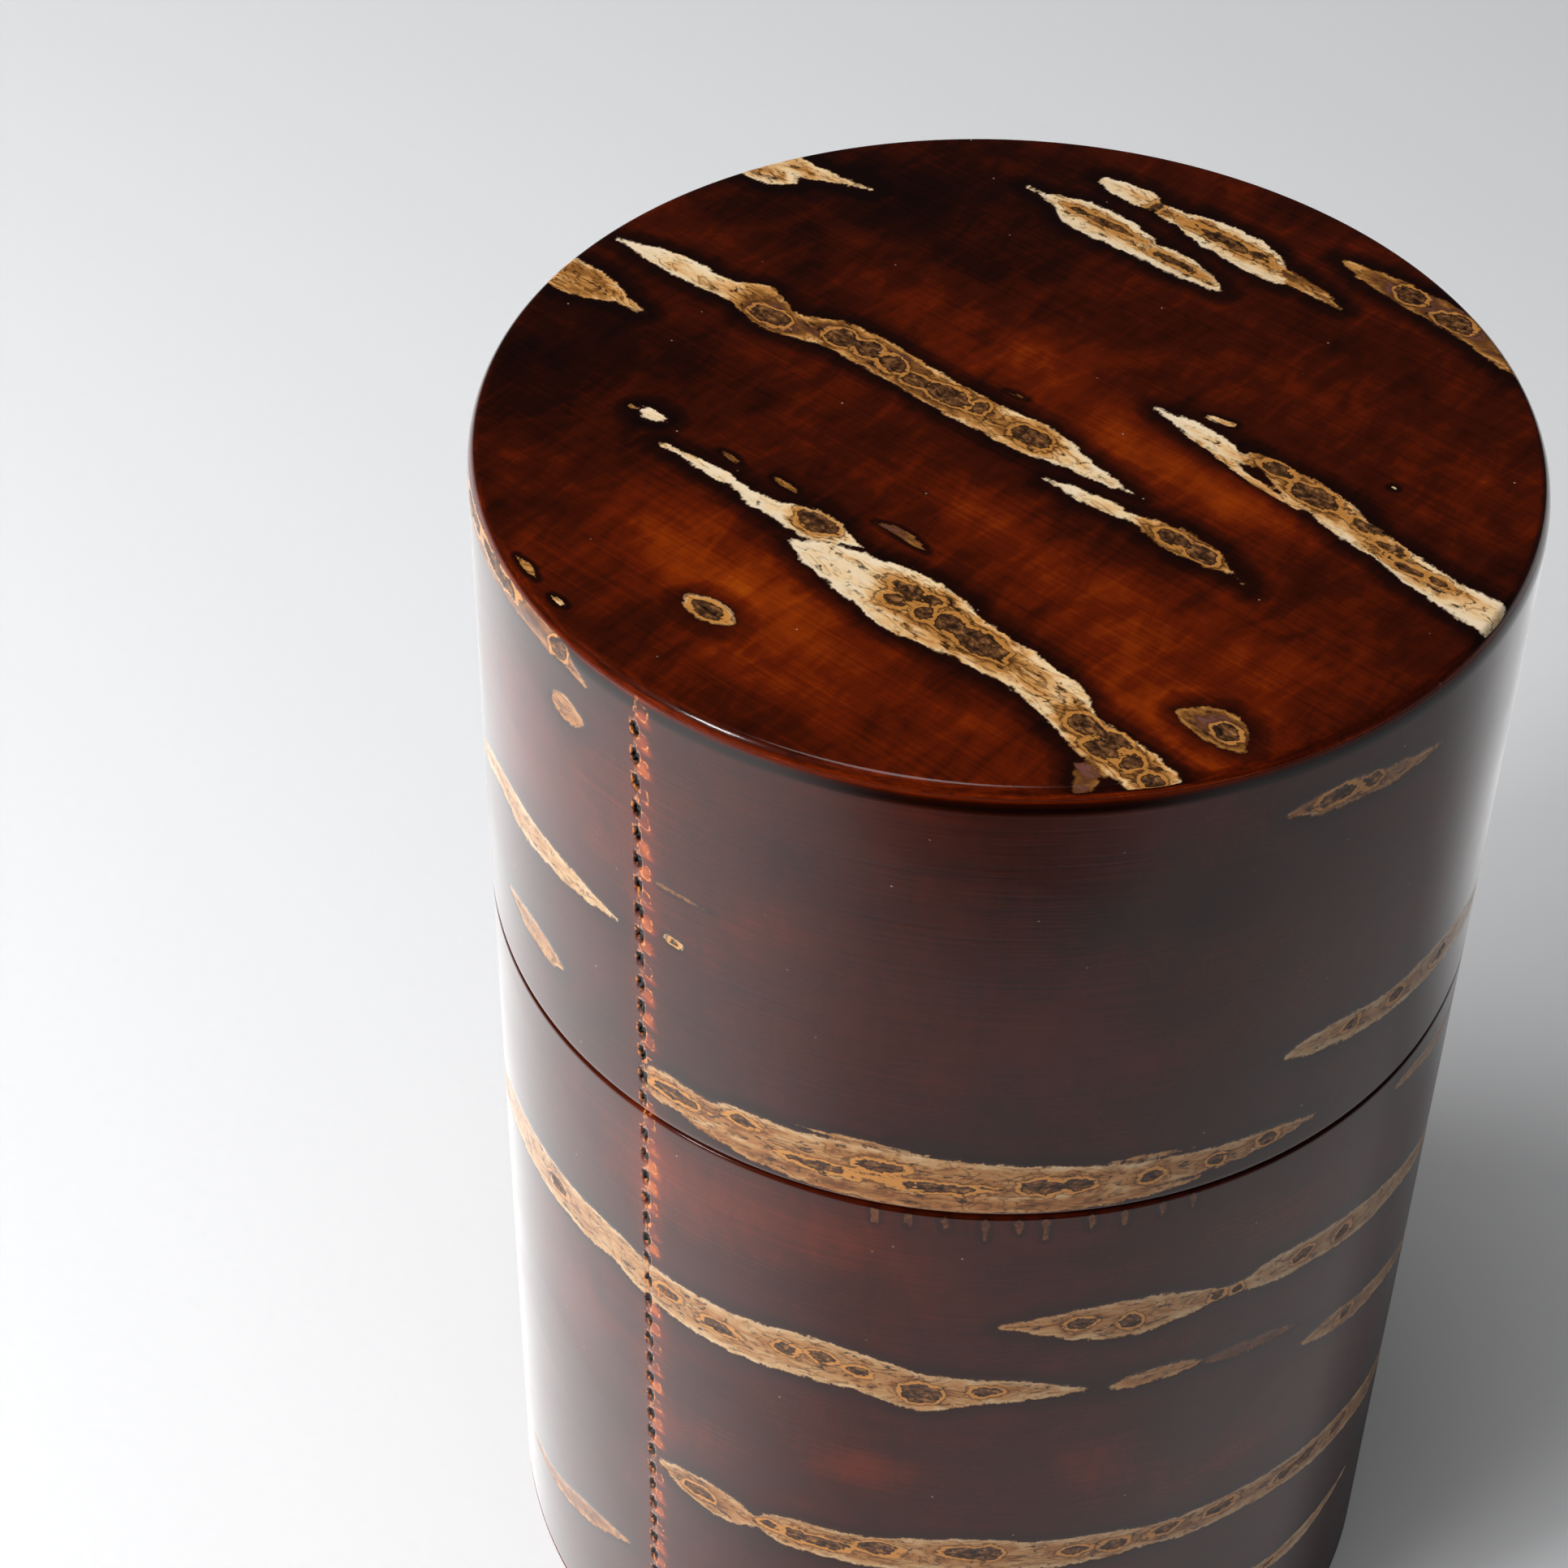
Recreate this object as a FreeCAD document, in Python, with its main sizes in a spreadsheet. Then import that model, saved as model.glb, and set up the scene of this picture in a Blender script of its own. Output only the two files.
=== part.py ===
# A round tea caddy of wound veneer tubes covered with polished cherry bark, in millimetres.
# One long tube is wound and cut into a lid and a body, and a second, narrower tube is glued into the
# body as a sleeve. The sleeve stands up as a neck that the lid slides over, and an inner lid with a
# knob plugs its mouth. +Z is up, the origin is the middle of the base, and the bark's seam faces -Y.

import FreeCAD, Part
import os

import Sketcher

doc = FreeCAD.newDocument("TeaCaddy")

# Driving dimensions: alias, millimetres, what it measures.
DIMENSIONS = (
    ("outer_diameter", 80.0, "outside of the bark wraps"),
    ("overall_height", 120.0, "table to lid top"),
    ("lid_height", 42.6, "lid rim to lid top"),
    ("wrap_bark", 0.6, "bark sheet round the lid and the body"),
    ("face_bark", 0.8, "bark disc on the lid top and under the base"),
    ("lining_bark", 0.4, "thin bark inside the tubes, round the neck and on the inner lid"),
    ("core_wall", 1.5, "wound veneer of the lid and the body"),
    ("sleeve_wall", 1.2, "wound veneer of the sleeve"),
    ("top_board", 3.0, "wooden disc in the lid"),
    ("base_board", 3.0, "wooden disc in the base"),
    ("glue_line", 0.05, "glue film between two layers"),
    ("lid_clearance", 0.12, "radial gap between the lid's bore and the sleeve"),
    ("rim_gap", 0.15, "shadow line between the lid's rim and the shoulder"),
    ("edge_round", 0.25, "rounding of the wraps' edges at the shadow line"),
    ("face_round", 0.5, "rounding of the lid top's edge and the base's edge"),
    ("inner_board", 2.2, "wooden disc of the inner lid that covers the mouth"),
    ("inner_lid_inset", 0.3, "step from the neck's outside to the inner lid's edge"),
    ("seat_gap", 0.1, "gap between the inner lid and the neck's rim"),
    ("plug_depth", 5.0, "wooden disc of the inner lid that goes down into the mouth"),
    ("plug_clearance", 0.15, "radial gap between the plug and the sleeve's bore"),
    ("plug_round", 0.25, "rounding of the plug's leading edge"),
    ("knob_stem_diameter", 9.5, "neck of the knob"),
    ("knob_stem", 3.2, "height of the knob's neck"),
    ("knob_overhang", 2.75, "how far the knob's head stands out past its neck"),
    ("knob_head", 4.4, "thickness of the knob's head"),
    ("knob_round", 1.3, "rounding of the knob's head"),
    ("knob_cap_margin", 0.4, "wood left round the bark cap on the knob"),
    ("peg_diameter", 4.0, "dowel that holds the knob"),
    ("peg_in_knob", 4.6, "how deep the dowel's hole goes into the knob"),
    ("peg_in_plug", 3.0, "how deep the dowel's hole goes into the plug"),
    ("headroom", 3.0, "air between the knob and the lid's ceiling"),
    ("seam_slit", 0.12, "hairline where the two ends of a bark wrap meet"),
    ("notch_width", 0.8, "cut between two teeth of the seam, round the wall"),
    ("notch_height", 1.35, "cut between two teeth of the seam, up the wall"),
    ("notch_pitch", 2.5, "from one tooth of the seam to the next"),
)

sheet = doc.addObject("Spreadsheet::Sheet", "Dimensions")
for row, (alias, value, meaning) in enumerate(DIMENSIONS, start=1):
    sheet.set(f"A{row}", alias)
    sheet.set(f"B{row}", str(value))
    sheet.set(f"C{row}", meaning)
    sheet.setAlias(f"B{row}", alias)
doc.recompute()

TOLERANCE = 1e-4  # two heights or radii closer than this are the same


def size(alias):
    return f"Dimensions.{alias}"


GLUE = size("glue_line")

# Radii, from the outside in. The lid and the body are cut from one tube, so they share these.
wrap_radius = f"({size('outer_diameter')} / 2)"
wrap_bore = f"({wrap_radius} - {size('wrap_bark')})"
core_radius = f"({wrap_bore} - {GLUE})"
core_bore = f"({core_radius} - {size('core_wall')})"
lining_radius = f"({core_bore} - {GLUE})"
tube_bore = f"({lining_radius} - {size('lining_bark')})"

# Radii of the sleeve, which fits the tube's bore.
sleeve_radius = f"({tube_bore} - {size('lid_clearance')})"
sleeve_bark_bore = f"({sleeve_radius} - {size('lining_bark')})"
sleeve_core_radius = f"({sleeve_bark_bore} - {GLUE})"
sleeve_core_bore = f"({sleeve_core_radius} - {size('sleeve_wall')})"
sleeve_lining_radius = f"({sleeve_core_bore} - {GLUE})"
sleeve_bore = f"({sleeve_lining_radius} - {size('lining_bark')})"

# Radii of the inner lid, which covers the neck and plugs its bore.
inner_lid_radius = f"({sleeve_radius} - {size('inner_lid_inset')})"
inner_edge_bore = f"({inner_lid_radius} - {size('lining_bark')})"
inner_board_radius = f"({inner_edge_bore} - {GLUE})"
plug_bark_radius = f"({sleeve_bore} - {size('plug_clearance')})"
plug_bark_bore = f"({plug_bark_radius} - {size('lining_bark')})"
plug_radius = f"({plug_bark_bore} - {GLUE})"
stem_radius = f"({size('knob_stem_diameter')} / 2)"
head_radius = f"({stem_radius} + {size('knob_overhang')})"
peg_radius = f"({size('peg_diameter')} / 2)"
peg_hole_radius = f"({peg_radius} + {GLUE})"

# Heights of the body, from the table up.
tube_foot = f"({size('face_bark')} + {GLUE})"
base_board_top = f"({tube_foot} + {size('base_board')})"
floor_level = f"({base_board_top} + {GLUE})"
lid_rim = f"({size('overall_height')} - {size('lid_height')})"
shoulder = f"({lid_rim} - {size('rim_gap')})"

# Heights of the lid, from the top down.
face_under = f"({size('overall_height')} - {size('face_bark')})"
lid_tube_top = f"({face_under} - {GLUE})"
board_under = f"({lid_tube_top} - {size('top_board')})"
lining_top = f"({board_under} - {GLUE})"
ceiling = f"({lining_top} - {size('lining_bark')})"

# Heights of the inner lid, hung below the ceiling so that the knob keeps its headroom.
knob_top = f"({ceiling} - {size('headroom')})"
knob_cap_under = f"({knob_top} - {size('lining_bark')})"
knob_head_top = f"({knob_cap_under} - {GLUE})"
knob_head_under = f"({knob_head_top} - {size('knob_head')})"
knob_foot = f"({knob_head_under} - {size('knob_stem')})"
inner_face_top = f"({knob_foot} - {GLUE})"
inner_face_under = f"({inner_face_top} - {size('lining_bark')})"
inner_board_top = f"({inner_face_under} - {GLUE})"
inner_board_under = f"({inner_board_top} - {size('inner_board')})"
neck_top = f"({inner_board_under} - {size('seat_gap')})"
plug_top = f"({inner_board_under} - {GLUE})"
plug_under = f"({plug_top} - {size('plug_depth')})"
under_face_top = f"({plug_under} - {GLUE})"
under_face = f"({under_face_top} - {size('lining_bark')})"

bodies = []


def new_body(label):
    body = doc.addObject("PartDesign::Body", label)
    body.Label = label
    bodies.append(body)
    return body


def origin_feature(body, role):
    return next(f for f in body.Origin.OriginFeatures if f.Role == role)


def plan_sketch(body, name, level):
    """A sketch that lies flat at a height."""
    sketch = body.newObject("Sketcher::SketchObject", name)
    sketch.AttachmentSupport = [(origin_feature(body, "XY_Plane"), "")]
    sketch.MapMode = "FlatFace"
    sketch.setExpression("AttachmentOffset.Base.z", level)
    return sketch


def seam_sketch(body, name, level):
    """An upright sketch that faces the seam, with its zero line at a height."""
    sketch = body.newObject("Sketcher::SketchObject", name)
    sketch.AttachmentSupport = [(origin_feature(body, "XZ_Plane"), "")]
    sketch.MapMode = "FlatFace"
    sketch.setExpression("AttachmentOffset.Base.y", level)
    return sketch


def bind(sketch, constraint, name, formula):
    """Adds a constraint and ties its value to a formula of the sheet."""
    index = sketch.addConstraint(constraint)
    sketch.renameConstraint(index, name)
    sketch.setExpression(f"Constraints.{name}", formula)


def add_circle(sketch, name, radius):
    """A circle about the caddy's axis."""
    circle = sketch.addGeometry(Part.Circle(FreeCAD.Vector(), FreeCAD.Vector(0, 0, 1), 1.0), False)
    sketch.addConstraint(Sketcher.Constraint("Coincident", circle, 3, -1, 1))
    bind(sketch, Sketcher.Constraint("Radius", circle, 1.0), name, radius)


def add_rectangle(sketch, width, height):
    """A rectangle that stands on the sketch's zero line, centred on its upright axis."""
    corners = [FreeCAD.Vector(x, y, 0) for x, y in ((-1, 0), (1, 0), (1, 1), (-1, 1))]
    for start, end in zip(corners, corners[1:] + corners[:1]):
        sketch.addGeometry(Part.LineSegment(start, end), False)
    bottom, right, top, left = range(4)
    for side in (bottom, right, top, left):
        sketch.addConstraint(Sketcher.Constraint("Coincident", side, 2, (side + 1) % 4, 1))
    for side in (bottom, top):
        sketch.addConstraint(Sketcher.Constraint("Horizontal", side))
    for side in (right, left):
        sketch.addConstraint(Sketcher.Constraint("Vertical", side))
    sketch.addConstraint(Sketcher.Constraint("Symmetric", bottom, 1, bottom, 2, -1, 1))
    bind(sketch, Sketcher.Constraint("DistanceX", bottom, 1, bottom, 2, 2.0), "across", width)
    bind(sketch, Sketcher.Constraint("DistanceY", right, 1, right, 2, 1.0), "up", height)


def add_pad(body, name, level, top, radius, bore=None):
    """A disc, or a ring where a bore is given, from one height up to another."""
    sketch = plan_sketch(body, f"{name}_outline", level)
    add_circle(sketch, "outside", radius)
    if bore:
        add_circle(sketch, "bore", bore)
    pad = body.newObject("PartDesign::Pad", name)
    pad.Profile = sketch
    pad.setExpression("Length", f"{top} - {level}")
    doc.recompute()
    return pad


def add_cut(body, name, sketch, depth, reverse):
    """Cuts a sketch into a body, and stops if the cut misses it."""
    before = body.Shape.Volume
    pocket = body.newObject("PartDesign::Pocket", name)
    pocket.Profile = sketch
    pocket.Reversed = reverse
    pocket.setExpression("Length", depth)
    doc.recompute()
    if pocket.Shape.Volume > before - TOLERANCE:
        raise RuntimeError(f"{body.Label}: {name} cuts nothing")
    return pocket


def add_peg_hole(body, level, depth, upward):
    """The dowel's blind hole, bored up or down from a face."""
    sketch = plan_sketch(body, "peg_hole_outline", level)
    add_circle(sketch, "hole", peg_hole_radius)
    add_cut(body, "peg_hole", sketch, depth, reverse=upward)


def cut_seam(body, name, level, width, height):
    """A slot cut from the caddy's axis out through the -Y side of a wall and past it."""
    sketch = seam_sketch(body, f"{name}_outline", level)
    add_rectangle(sketch, width, height)
    return add_cut(body, name, sketch, size("outer_diameter"), reverse=True)


def widest_rims(feature, level=None):
    """Names of a feature's widest round edges, all of them or those at one height."""
    circles = [
        (f"Edge{number}", edge.Curve)
        for number, edge in enumerate(feature.Shape.Edges, start=1)
        if isinstance(edge.Curve, Part.Circle)
    ]
    widest = max(curve.Radius for _, curve in circles)
    return [
        name
        for name, curve in circles
        if curve.Radius > widest - TOLERANCE
        and (level is None or abs(curve.Center.z - level) < TOLERANCE)
    ]


def add_fillet(body, name, feature, rims, radius, wall):
    """Rounds edges, by no more than most of the wall that they leave."""
    fillet = body.newObject("PartDesign::Fillet", name)
    fillet.Base = (feature, rims)
    fillet.setExpression("Radius", f"min({radius}; 0.9 * {wall})")
    doc.recompute()


def make_layer(label, level, top, radius, bore=None):
    """A plain layer of the caddy: a disc or a tube."""
    body = new_body(label)
    add_pad(body, "layer", level, top, radius, bore)
    return body


def make_bark_wrap(label, level, top, free_edge_up):
    """A bark sheet bent round a tube. Its two ends meet at -Y in a hairline with a row of small notches,
    and its edge at the shadow line is rounded."""
    body = new_body(label)
    tube = add_pad(body, "bark", level, top, wrap_radius, wrap_bore)
    box = tube.Shape.BoundBox
    free_edge = widest_rims(tube, box.ZMax if free_edge_up else box.ZMin)
    add_fillet(body, "free_edge", tube, free_edge, size("edge_round"), size("wrap_bark"))
    cut_seam(body, "ends", level, size("seam_slit"), f"{top} - {level}")
    # The first notch starts half a gap above the lower edge.
    first_notch = f"({level} + ({size('notch_pitch')} - {size('notch_height')}) / 2)"
    notch = cut_seam(body, "notch", first_notch, size("notch_width"), size("notch_height"))
    notch_row = body.newObject("PartDesign::LinearPattern", "notch_row")
    notch_row.Originals = [notch]
    notch_row.Direction = (origin_feature(body, "Z_Axis"), [""])
    notch_row.Mode = "Spacing"
    notch_row.setExpression("Offset", size("notch_pitch"))
    notch_row.setExpression("Occurrences", f"floor(({top} - {level}) / {size('notch_pitch')})")
    body.Tip = notch_row
    doc.recompute()


def make_face_disc(label, level, top, rounded_edge_up):
    """The thick bark disc on the lid's top or under the base, with its outer edge rounded."""
    body = new_body(label)
    disc = add_pad(body, "disc", level, top, wrap_radius)
    box = disc.Shape.BoundBox
    rim = widest_rims(disc, box.ZMax if rounded_edge_up else box.ZMin)
    add_fillet(body, "edge", disc, rim, size("face_round"), size("face_bark"))


def make_body():
    """The lower tube, its base and the sleeve that stands up as the neck."""
    make_face_disc("base_bark", "0", size("face_bark"), rounded_edge_up=False)
    make_layer("base_board", tube_foot, base_board_top, lining_radius)
    make_layer("body_core_tube", tube_foot, shoulder, core_radius, core_bore)
    make_bark_wrap("body_bark_wrap", tube_foot, shoulder, free_edge_up=True)
    make_layer("body_lining", floor_level, shoulder, lining_radius, tube_bore)
    make_layer("sleeve_bark_wrap", floor_level, neck_top, sleeve_radius, sleeve_bark_bore)
    make_layer("sleeve_core_tube", floor_level, neck_top, sleeve_core_radius, sleeve_core_bore)
    make_layer("sleeve_lining", floor_level, neck_top, sleeve_lining_radius, sleeve_bore)
    floor_top = f"({floor_level} + {size('lining_bark')})"
    make_layer("floor_bark", floor_level, floor_top, f"({sleeve_bore} - {GLUE})")


def make_lid():
    """The upper tube, closed by a board with bark on both faces."""
    make_layer("lid_core_tube", lid_rim, lid_tube_top, core_radius, core_bore)
    make_bark_wrap("lid_bark_wrap", lid_rim, lid_tube_top, free_edge_up=False)
    make_layer("lid_lining", lid_rim, lining_top, lining_radius, tube_bore)
    make_layer("lid_top_board", board_under, lid_tube_top, lining_radius)
    make_layer("lid_ceiling_bark", ceiling, lining_top, f"({tube_bore} - {GLUE})")
    make_face_disc("lid_top_bark", face_under, size("overall_height"), rounded_edge_up=True)


def make_inner_lid():
    """The plug for the mouth: two boards covered with bark on every side."""
    make_layer("inner_lid_board", inner_board_under, inner_board_top, inner_board_radius, peg_hole_radius)
    make_layer("inner_lid_edge_bark", inner_board_under, inner_board_top, inner_lid_radius, inner_edge_bore)
    make_layer("inner_lid_top_bark", inner_face_under, inner_face_top, inner_lid_radius, peg_hole_radius)
    plug = make_layer("inner_lid_plug", plug_under, plug_top, plug_radius)
    add_peg_hole(plug, plug_top, size("peg_in_plug"), upward=False)
    make_layer("inner_lid_plug_bark", plug_under, plug_top, plug_bark_radius, plug_bark_bore)
    under_bark = new_body("inner_lid_under_bark")
    disc = add_pad(under_bark, "disc", under_face, under_face_top, plug_bark_radius)
    leading_edge = widest_rims(disc, disc.Shape.BoundBox.ZMin)
    add_fillet(under_bark, "leading_edge", disc, leading_edge, size("plug_round"), size("lining_bark"))


def make_knob():
    """A turned knob, the bark cap on it and the dowel that pins it to the inner lid."""
    knob = new_body("inner_lid_knob")
    add_pad(knob, "stem", knob_foot, knob_head_under, stem_radius)
    head = add_pad(knob, "head", knob_head_under, knob_head_top, head_radius)
    half_head = f"min({size('knob_head')} / 2; {size('knob_overhang')})"
    add_fillet(knob, "head_edges", head, widest_rims(head), size("knob_round"), half_head)
    add_peg_hole(knob, knob_foot, size("peg_in_knob"), upward=True)
    cap_radius = f"({head_radius} - {size('knob_round')} - {size('knob_cap_margin')})"
    make_layer("knob_cap_bark", knob_cap_under, knob_top, cap_radius)
    peg_foot = f"({plug_top} - {size('peg_in_plug')} + {GLUE})"
    peg_top = f"({knob_foot} + {size('peg_in_knob')} - {GLUE})"
    make_layer("knob_peg", peg_foot, peg_top, peg_radius)


def check_document():
    """Stops if an object failed or a piece isn't one sound solid."""
    for item in doc.Objects:
        if "Invalid" in item.State or "Error" in item.State:
            raise RuntimeError(f"{item.Label} failed: {item.State}")
    for body in bodies:
        shape = body.Shape
        if shape.isNull() or not shape.isValid() or len(shape.Solids) != 1:
            raise RuntimeError(f"{body.Label} isn't one sound solid")


make_body()
make_lid()
make_inner_lid()
make_knob()
doc.recompute()
check_document()

os.makedirs("parts", exist_ok=True)
for body in bodies:
    body.Shape.exportStep(f"parts/{body.Label}.step")
    box = body.Shape.BoundBox
    print(f"{body.Label}: {body.Shape.Volume:.1f} mm3, z {box.ZMin:.2f} to {box.ZMax:.2f}")
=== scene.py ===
import math
import random
from functools import partial

import bpy
import numpy as np
from mathutils import Matrix, Vector


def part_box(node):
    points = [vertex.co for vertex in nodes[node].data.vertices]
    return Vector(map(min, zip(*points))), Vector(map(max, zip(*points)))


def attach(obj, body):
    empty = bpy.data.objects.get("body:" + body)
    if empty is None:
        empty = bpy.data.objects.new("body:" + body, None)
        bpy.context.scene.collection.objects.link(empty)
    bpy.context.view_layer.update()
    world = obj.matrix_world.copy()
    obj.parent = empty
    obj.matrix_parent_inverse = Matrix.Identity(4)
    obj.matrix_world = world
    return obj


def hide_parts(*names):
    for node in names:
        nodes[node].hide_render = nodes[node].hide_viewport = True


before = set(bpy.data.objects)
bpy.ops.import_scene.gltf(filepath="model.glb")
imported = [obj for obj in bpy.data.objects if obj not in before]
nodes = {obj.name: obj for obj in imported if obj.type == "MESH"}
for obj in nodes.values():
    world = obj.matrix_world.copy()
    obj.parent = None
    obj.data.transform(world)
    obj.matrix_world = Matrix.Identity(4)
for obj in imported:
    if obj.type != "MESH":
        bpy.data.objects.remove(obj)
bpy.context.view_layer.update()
mm = 0.001
outside = -9.0  # mm: a point far from every streak, pore and notch
print("frame loaded:", len(nodes), "nodes")


# helpers for meshes and nodes
def linear(hexColour):
    # sRGB hex to the linear colour that a socket takes
    parts = [int(hexColour[i:i + 2], 16) / 255 for i in (1, 3, 5)]
    return tuple(p / 12.92 if p <= 0.04045 else ((p + 0.055) / 1.055) ** 2.4 for p in parts) + (1.0,)


def addNode(tree, kind, inputs=(), stops=(), **settings):
    # one shader node with its settings, its ramp's (place, hex) stops, and its inputs, in order or by name,
    # as numbers or sockets; gives its first output. MapRange: value, from low, from high, to low, to high
    node = tree.nodes.new("ShaderNode" + kind)
    for name, value in settings.items():
        setattr(node, name, value)
    if stops:
        elements = node.color_ramp.elements
        while len(elements) < len(stops):
            elements.new(1.0)
        for element, (spot, colour) in zip(elements, stops):
            element.position, element.color = spot, linear(colour)
    for name, value in inputs.items() if isinstance(inputs, dict) else enumerate(inputs):
        if isinstance(value, bpy.types.NodeSocket):
            tree.links.new(value, node.inputs[name])
        else:
            node.inputs[name].default_value = value
    return node.outputs[0] if node.outputs else None


def newMaterial(name):
    # an empty material, and addNode for its own tree
    material = bpy.data.materials.new(name)
    material.use_nodes = True
    material.node_tree.nodes.clear()
    return material, partial(addNode, material.node_tree)


def roundSize(node):
    # mm: radius, bottom and top of a round solid
    low, high = (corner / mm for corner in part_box(node))
    return high.x, low.z, high.z


def ringQuads(columns, points):
    # quads between the columns of a closed profile that goes all the way round
    index = np.arange(columns * points).reshape(columns, points)
    beside = np.roll(index, -1, 0)
    return np.stack([index, beside, np.roll(beside, -1, 1), np.roll(index, -1, 1)], -1).reshape(-1, 4)


def smooth(low, high, value):
    t = np.clip((value - low) / (high - low), 0, 1)
    return t * t * (3 - 2 * t)


# how the bark is drawn, in mm: a lenticel is a streak along a line of (x, y, half width), with pores of
# (x, y, half length, half width) inside; its tone goes from 0 for cream to 1 for brown
def streakDistance(points, x, y):
    # mm inside (+) or outside (-) a streak whose half width changes along a smooth line
    p = np.array(points, float)
    if len(p) > 2:
        ends = np.vstack([2 * p[0] - p[1], p, 2 * p[-1] - p[-2]])
        fine = []
        for a, b, c, d in zip(ends, ends[1:], ends[2:], ends[3:]):
            steps = max(2, int(np.hypot(*(c - b)[:2]) / 0.3))
            t = np.arange(steps)[:, None] / steps
            fine.append(0.5 * (2 * b + (c - a) * t + (2 * a - 5 * b + 4 * c - d) * t ** 2
                               + (3 * b - a - 3 * c + d) * t ** 3))
        p = np.vstack(fine + [p[-1:]])
    else:
        t = np.linspace(0, 1, 24)[:, None]
        p = p[0] * (1 - t) + p[1] * t
    margin, hair = 7, 0.02  # mm round the streak that are worked out; the least half width
    distance = np.full(x.shape, outside)
    near = ((x > p[:, 0].min() - margin) & (x < p[:, 0].max() + margin)
            & (y > p[:, 1].min() - margin) & (y < p[:, 1].max() + margin))
    xs, ys = x[near], y[near]
    best = distance[near]
    for px, py, half in p:
        best = np.maximum(best, max(half, hair) - np.hypot(xs - px, ys - py))
    distance[near] = best
    return distance


def drawBark(x, y, streaks, glows, level):
    # point values: mm into a streak, mm into a pore, the streak's tone, and the bark's own brightness
    streak = np.full(x.shape, outside)
    pore = np.full(x.shape, outside)
    tone = np.full(x.shape, 0.4)
    shade = np.full(x.shape, float(level))
    for cx, cy, rx, ry, amount in glows:
        shade += amount * np.exp(-((x - cx) / rx) ** 2 - ((y - cy) / ry) ** 2)
    for item in streaks:
        inside = streakDistance(item["line"], x, y)
        if max(half for px, py, half in item["line"]) < 0.6:
            inside = np.where(inside < 0, 4 * inside, inside)  # a small mark has no wide dark edge
        closer = inside > streak
        tones = item["tone"]
        if isinstance(tones, tuple):  # the tone changes along the streak
            x0, x1 = item["line"][0][0], item["line"][-1][0]
            tones = np.interp((x - x0) / (x1 - x0), np.linspace(0, 1, len(tones)), tones)
        tone = np.where(closer, tones, tone)
        streak = np.maximum(streak, inside)
        for px, py, a, b in item.get("pores", ()):
            hole = (1 - np.hypot((x - px) / a, (y - py) / b)) * min(a, b) * 1.15
            pore = np.maximum(pore, hole)
    return streak, pore, tone, shade


def scatterPores(line, seed, pitch=3.2):
    # pores at uneven places along a streak
    rnd = random.Random(seed)
    pores = []
    for (x0, y0, w0), (x1, y1, w1) in zip(line, line[1:]):
        count = max(1, int(math.hypot(x1 - x0, y1 - y0) / pitch))
        for i in range(count):
            t = (i + rnd.uniform(0.15, 0.85)) / count
            half = w0 + (w1 - w0) * t
            if half > 0.7 and rnd.random() < 0.75:
                pores.append((x0 + (x1 - x0) * t, y0 + (y1 - y0) * t + rnd.uniform(-0.3, 0.3) * half,
                              rnd.uniform(0.45, 0.85) * half, rnd.uniform(0.25, 0.42) * half))
    return pores


def wildStreaks(seed, count, uRange, zRange):
    # streaks for the sides that the main view doesn't show, lying round the wall
    rnd = random.Random(seed)
    found = []
    for i in range(count):
        u = rnd.uniform(*uRange)
        z = zRange[0] + (i + rnd.uniform(0.2, 0.8)) * (zRange[1] - zRange[0]) / count
        half = rnd.uniform(0.6, 2.2)
        pieces = rnd.choice((2, 3, 4, 6, 8, 11))
        slope = rnd.uniform(-0.05, 0.05)
        line = [(u, z, 0.1)]
        for k in range(1, pieces):
            line.append((u + k * rnd.uniform(4.4, 5.4), z + slope * k * 5 + rnd.uniform(-0.6, 0.6),
                         half * rnd.uniform(0.4, 1.2)))
        line.append((u + pieces * 5.2, z + slope * pieces * 5, 0.1))
        found.append({"line": line, "tone": rnd.uniform(0.15, 0.6), "pores": scatterPores(line, seed + i)})
    return found


def rowStreaks(rows, shares, sway, tones, seed):
    # a streak for each (x, y, length, half width), with its width given at shares of its length
    found = []
    for k, (x, y, length, half) in enumerate(rows):
        line = [(x, y, 0.1)]
        line += [(x + length * f, y + sway[0] * math.sin(sway[1] * f + k), half * g) for f, g in shares]
        line.append((x + length, y, 0.1))
        found.append({"line": line, "tone": tones[0] + tones[1] * k, "pores": scatterPores(line, seed + k)})
    return found


def putAttributes(mesh, values):
    # a vector on each point, for the materials to read
    for name, columns in values.items():
        attribute = mesh.attributes.new(name, "FLOAT_VECTOR", "POINT")
        attribute.data.foreach_set("vector", np.stack(columns, -1).astype(np.float32).ravel())


def finishPiece(mesh, name, material, body, node):
    for polygon in mesh.polygons:
        polygon.use_smooth = True
    mesh.materials.append(material)
    piece = bpy.data.objects.new(name, mesh)
    bpy.context.scene.collection.objects.link(piece)
    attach(piece, body)
    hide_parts(node)
    return piece


def barkRelief(x, y, streak, pore):
    # mm: streaks lie a little low in the polished face, pores lower, and the face itself isn't quite flat
    streakDepth, poreDepth = 0.03, 0.035
    wave = (0.012 * np.sin(x * 0.31 + 1.7 * np.sin(y * 0.17))
            + 0.01 * np.sin(y * 0.43 + 1.3 * np.sin(x * 0.12)))
    return wave - streakDepth * smooth(-0.15, 0.35, streak) - poreDepth * smooth(-0.1, 0.3, pore)


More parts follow.
